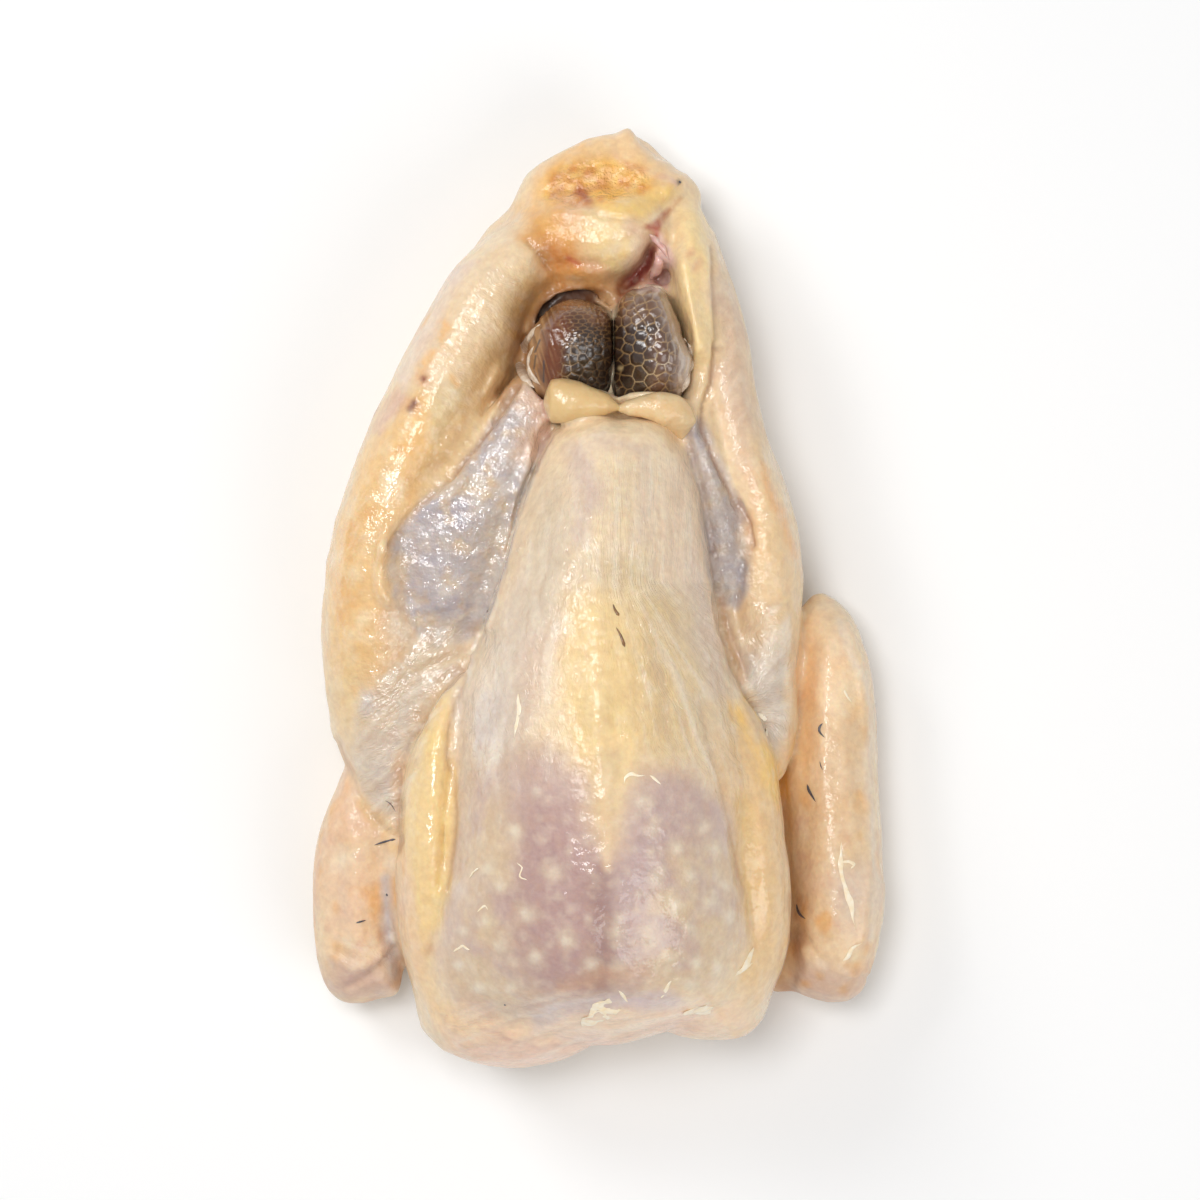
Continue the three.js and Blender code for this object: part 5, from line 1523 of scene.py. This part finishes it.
for name, line, widths, height in RIMS:
    piece = laid(name, line, widths, [height] * len(widths), 0.1, 32, 12)
    made_uneven(piece, 0.3, 2.5, 131)
    added(piece, rim_finish)

# --- Quill stubs --------------------------------------------------------------------------------
# Blue-black ends of feathers broken off in the skin of the wings, each a thin tapering stub laid
# on the skin, and two brown ones on the keel. Where one stands upright only its dark end shows.
quill_finish = even_finish("quill", (52, 52, 64), (96, 92, 100), 0.002, 0.4, 0.5, 0.1, 0.0)
QUILLS = [
    ("quill_1", [(61.9, -34.2), (61.1, -35.3), (61.1, -36.7),
                 (62.5, -38.3)], (0.15, 0.36, 0.3, 0.1)),
    ("quill_2", [(61.1, -44.7), (61.4, -46.1), (61.9, -47.2)], (0.06, 0.15, 0.06)),
    ("quill_3", [(57.6, -51.1), (58.1, -52.8), (59, -54.4), (60, -56.1)], (0.2, 0.42, 0.3, 0.1)),
    ("quill_4", [(54.7, -84.4), (55, -86.1), (55.8, -87.5),
                 (57.2, -88.6)], (0.12, 0.34, 0.34, 0.1)),
    ("quill_5", [(-62.8, -68.1), (-60, -67.2), (-56.7, -66.4)], (0.12, 0.3, 0.42)),
    ("quill_6", [(-67.8, -89.7), (-66.7, -89.4), (-65, -88.9)], (0.1, 0.26, 0.1)),
    ("hair_1", [(-59.7, -55.6), (-58.1, -56.7), (-56.7, -58.9)], (0.06, 0.11, 0.05)),
]
for name, line, widths in QUILLS:
    piece = laid(name, line, widths, widths, 0.15, 14, 8)
    added(piece, quill_finish)
for number, place in enumerate(((-59.2, -81.9), (-26.4, -112.5), (22.2, 116.1))):
    spot, slope = on_top(place)
    side = np.cross(slope, (0, 1.0, 0))
    piece = drawn_out_ball("quill_dot_%d" % number, [spot - 0.3 * slope, spot, spot + 0.25 * slope],
                           [side] * 3, [np.cross(side, slope)] * 3, (0.3, 0.42, 0.2),
                           (0.3, 0.42, 0.2), 8, 8)
    added(piece, quill_finish)
brown_finish = even_finish("brown_stub", (150, 106, 60), (110, 76, 44), 0.002, 0.4, 0.5, 0.1, 0.1)
for name, line in (("stub_1", [(3.6, -1.1), (4.2, -2.8), (5.3, -4.4)]), ("stub_2", [(4.4, -7.5),
                               (5.8, -10), (6.9, -13.1)])):
    piece = laid(name, line, (0.15, 0.35, 0.5), (0.1, 0.2, 0.3), 0.05, 14, 8)
    added(piece, brown_finish)

# --- Flakes and strings of peeled skin ----------------------------------------------------------
# Thin pale bits of outer skin that plucking has lifted. Each lies flat along a line on the skin
# that it came from, hanging on by its ends, and is torn along its edges.
flake_finish = even_finish("peeled_skin", (255, 244, 222),
(250, 228, 188), 0.002, 0.45, 0.5, 0.2, 0.0)
FLAKES = [
    ("flake_1", [(-5, -118.3), (-2.2, -116.7), (1.1, -115.3), (5.6, -113.6)], (1.0, 2.8, 2.6, 0.8)),
    ("flake_2", [(-3.3, -115.6), (-0.6, -113.3), (2.2, -111.9),
                 (4.7, -110.6)], (0.6, 1.9, 1.7, 0.5)),
    ("flake_3", [(22.5, -114.7), (25, -114.4), (27.8, -113.9),
                 (31.1, -114.7)], (0.8, 2.2, 3.0, 0.9)),
    ("flake_4", [(16.9, -110.6), (18.1, -108.6), (19.2, -106.7),
                 (20.6, -105)], (0.3, 0.7, 0.5, 0.2)),
    ("flake_5", [(38.9, -103.3), (40.3, -101.7), (41.7, -98.9),
                 (42.5, -96.4)], (0.4, 1.1, 0.8, 0.3)),
    ("flake_6", [(37.5, -104.4), (39.4, -102.8), (42.2, -100.6)], (0.3, 0.7, 0.2)),
    ("flake_7", [(-23.3, -72.8), (-21.7, -74.4), (-22.2, -76.7),
                 (-20, -77.8)], (0.15, 0.3, 0.3, 0.15)),
    ("flake_8", [(-36.1, -77.2), (-35, -75.6), (-33.3, -74.4)], (0.15, 0.35, 0.15)),
    ("flake_9", [(-34.2, -86.7), (-32.2, -85), (-31.1, -86.1)], (0.15, 0.35, 0.15)),
    ("flake_10", [(-40.6, -97.8), (-38.3, -96.1), (-36.1, -97.2)], (0.2, 0.4, 0.2)),
    ("flake_11", [(6.7, -51.1), (7.2, -49.2), (8.9, -48.3), (10.8, -48.9),
                  (12.5, -48.6)], (0.12, 0.35, 0.5, 0.3, 0.1)),
    ("flake_15", [(13.6, -48.6), (15.3, -49.7), (17.2, -51.4)], (0.12, 0.4, 0.12)),
    ("flake_12", [(-22.5, -26.1), (-22.5, -30), (-23.1, -33.9),
                  (-23.9, -38.3)], (0.4, 0.7, 0.55, 0.2)),
    ("flake_13", [(43.9, -31.1), (45.6, -33.3), (46.4, -36.1), (45, -39.4)], (0.3, 0.8, 0.7, 0.3)),
    ("flake_14", [(5, -108.3), (6.4, -110), (7.8, -111.7)], (0.2, 0.5, 0.2)),
    ("string_1", [(67.2, -66.9), (66.9, -70), (66.9, -73.3), (67.5, -77.8), (68.6, -81.7),
                  (69.7, -83.9), (70.3, -87.8), (70.8, -91.9)],
     (0.2, 0.4, 0.6, 0.5, 0.8, 0.9, 0.4, 0.2)),
    ("string_2", [(67.2, -72.8), (68.9, -72.5), (70.6, -73.3),
                  (69.7, -74.4)], (0.3, 0.4, 0.45, 0.2)),
    ("string_3", [(67.5, -100), (68.9, -98.9), (70, -96.7), (73.1, -95)], (0.2, 0.7, 0.5, 0.2)),
    ("string_4", [(67.2, -23.3), (68.3, -26.4), (70, -28.3)], (0.15, 0.4, 0.15)),
]
for name, line, widths in FLAKES:
    piece = laid(name, line, widths, [0.13] * len(widths), 0.06, 36, 14)
    made_uneven(piece, 0.25, 2.2, 141, 0.3 * max(widths) ** 0.5)
    added(piece, flake_finish)

# --- Flesh at the gash --------------------------------------------------------------------------
# Torn ends of pink muscle that stand in the cut beside the vent, still joined to the leg below.
# They are strands laid along the cut, and made uneven.
flesh_finish = even_finish("flesh", (228, 190, 178), (214, 160, 152), 0.003, 0.4, 0.9, 0.3, 0.4)
FLESH_STRANDS = [
    ("flesh_1", [(13.6, 101.7), (15.6, 100), (17.5, 97.5), (19.4, 94.4)], (0.5, 1.0, 0.9, 0.4)),
    ("flesh_2", [(15.6, 96.7), (16.4, 94.4), (15.6, 91.7), (13.9, 88.9)], (0.5, 1.3, 1.5, 0.6)),
]
for name, line, widths in FLESH_STRANDS:
    piece = laid(name, line, widths, widths, 0.2, 24, 12)
    made_uneven(piece, 0.2, 2.0, 151)
    added(piece, flesh_finish)


# --- Floor, lights and camera -------------------------------------------------------------------
# The bird lies on a plain pale board under soft studio light, seen from straight above. A key
# light stands at the upper left, a broad one fills in from the lower right, one hangs overhead.
bpy.ops.object.select_all(action="DESELECT")
BOARD_SIZE, BOARD_BELOW = 6, 0.0005
bpy.ops.mesh.primitive_plane_add(size=BOARD_SIZE, location=(0, 0, -BOARD_BELOW))
floor = bpy.context.object
floor.name = "floor"
floor_finish = bpy.data.materials.new("floor")
floor_finish.use_nodes = True
floor_shader = floor_finish.node_tree.nodes["Principled BSDF"]
floor_shader.inputs["Base Color"].default_value = (0.95, 0.95, 0.95, 1)
floor_shader.inputs["Roughness"].default_value = 0.9
floor.data.materials.append(floor_finish)
floor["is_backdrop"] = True


def soft_light(name, place, size, watts):
    """A square light of that size in m, turned to face the bird."""
    bpy.ops.object.light_add(type="AREA", location=place)
    light = bpy.context.object
    light.name = name
    light.data.size = size
    light.data.energy = watts
    direction = -np.array(place)
    light.rotation_euler = (
        math.atan2(math.hypot(direction[0], direction[1]), -direction[2]),
        0,
        math.atan2(-direction[0], direction[1]),
    )


soft_light("key", (-0.75, 0.6, 0.95), 0.4, 4.5)
soft_light("overhead", (-0.2, 0.16, 1.3), 0.42, 7)
soft_light("fill", (0.7, -0.75, 0.95), 0.9, 5)

studio = bpy.data.worlds.new("studio")
bpy.context.scene.world = studio
studio.use_nodes = True
studio.node_tree.nodes["Background"].inputs["Color"].default_value = (1, 1, 1, 1)
STUDIO_GLOW = 0.36
studio.node_tree.nodes["Background"].inputs["Strength"].default_value = STUDIO_GLOW
bpy.context.scene.view_settings.view_transform = "Standard"

camera_data = bpy.data.cameras.new("camera")
LENS, SENSOR = 135, 36  # in mm
camera_data.lens = LENS
camera_data.sensor_width = SENSOR
camera = bpy.data.objects.new("camera", camera_data)
camera.location = (0, 0, EYE_HEIGHT * MM)
bpy.context.collection.objects.link(camera)
bpy.context.scene.camera = camera

low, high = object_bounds()
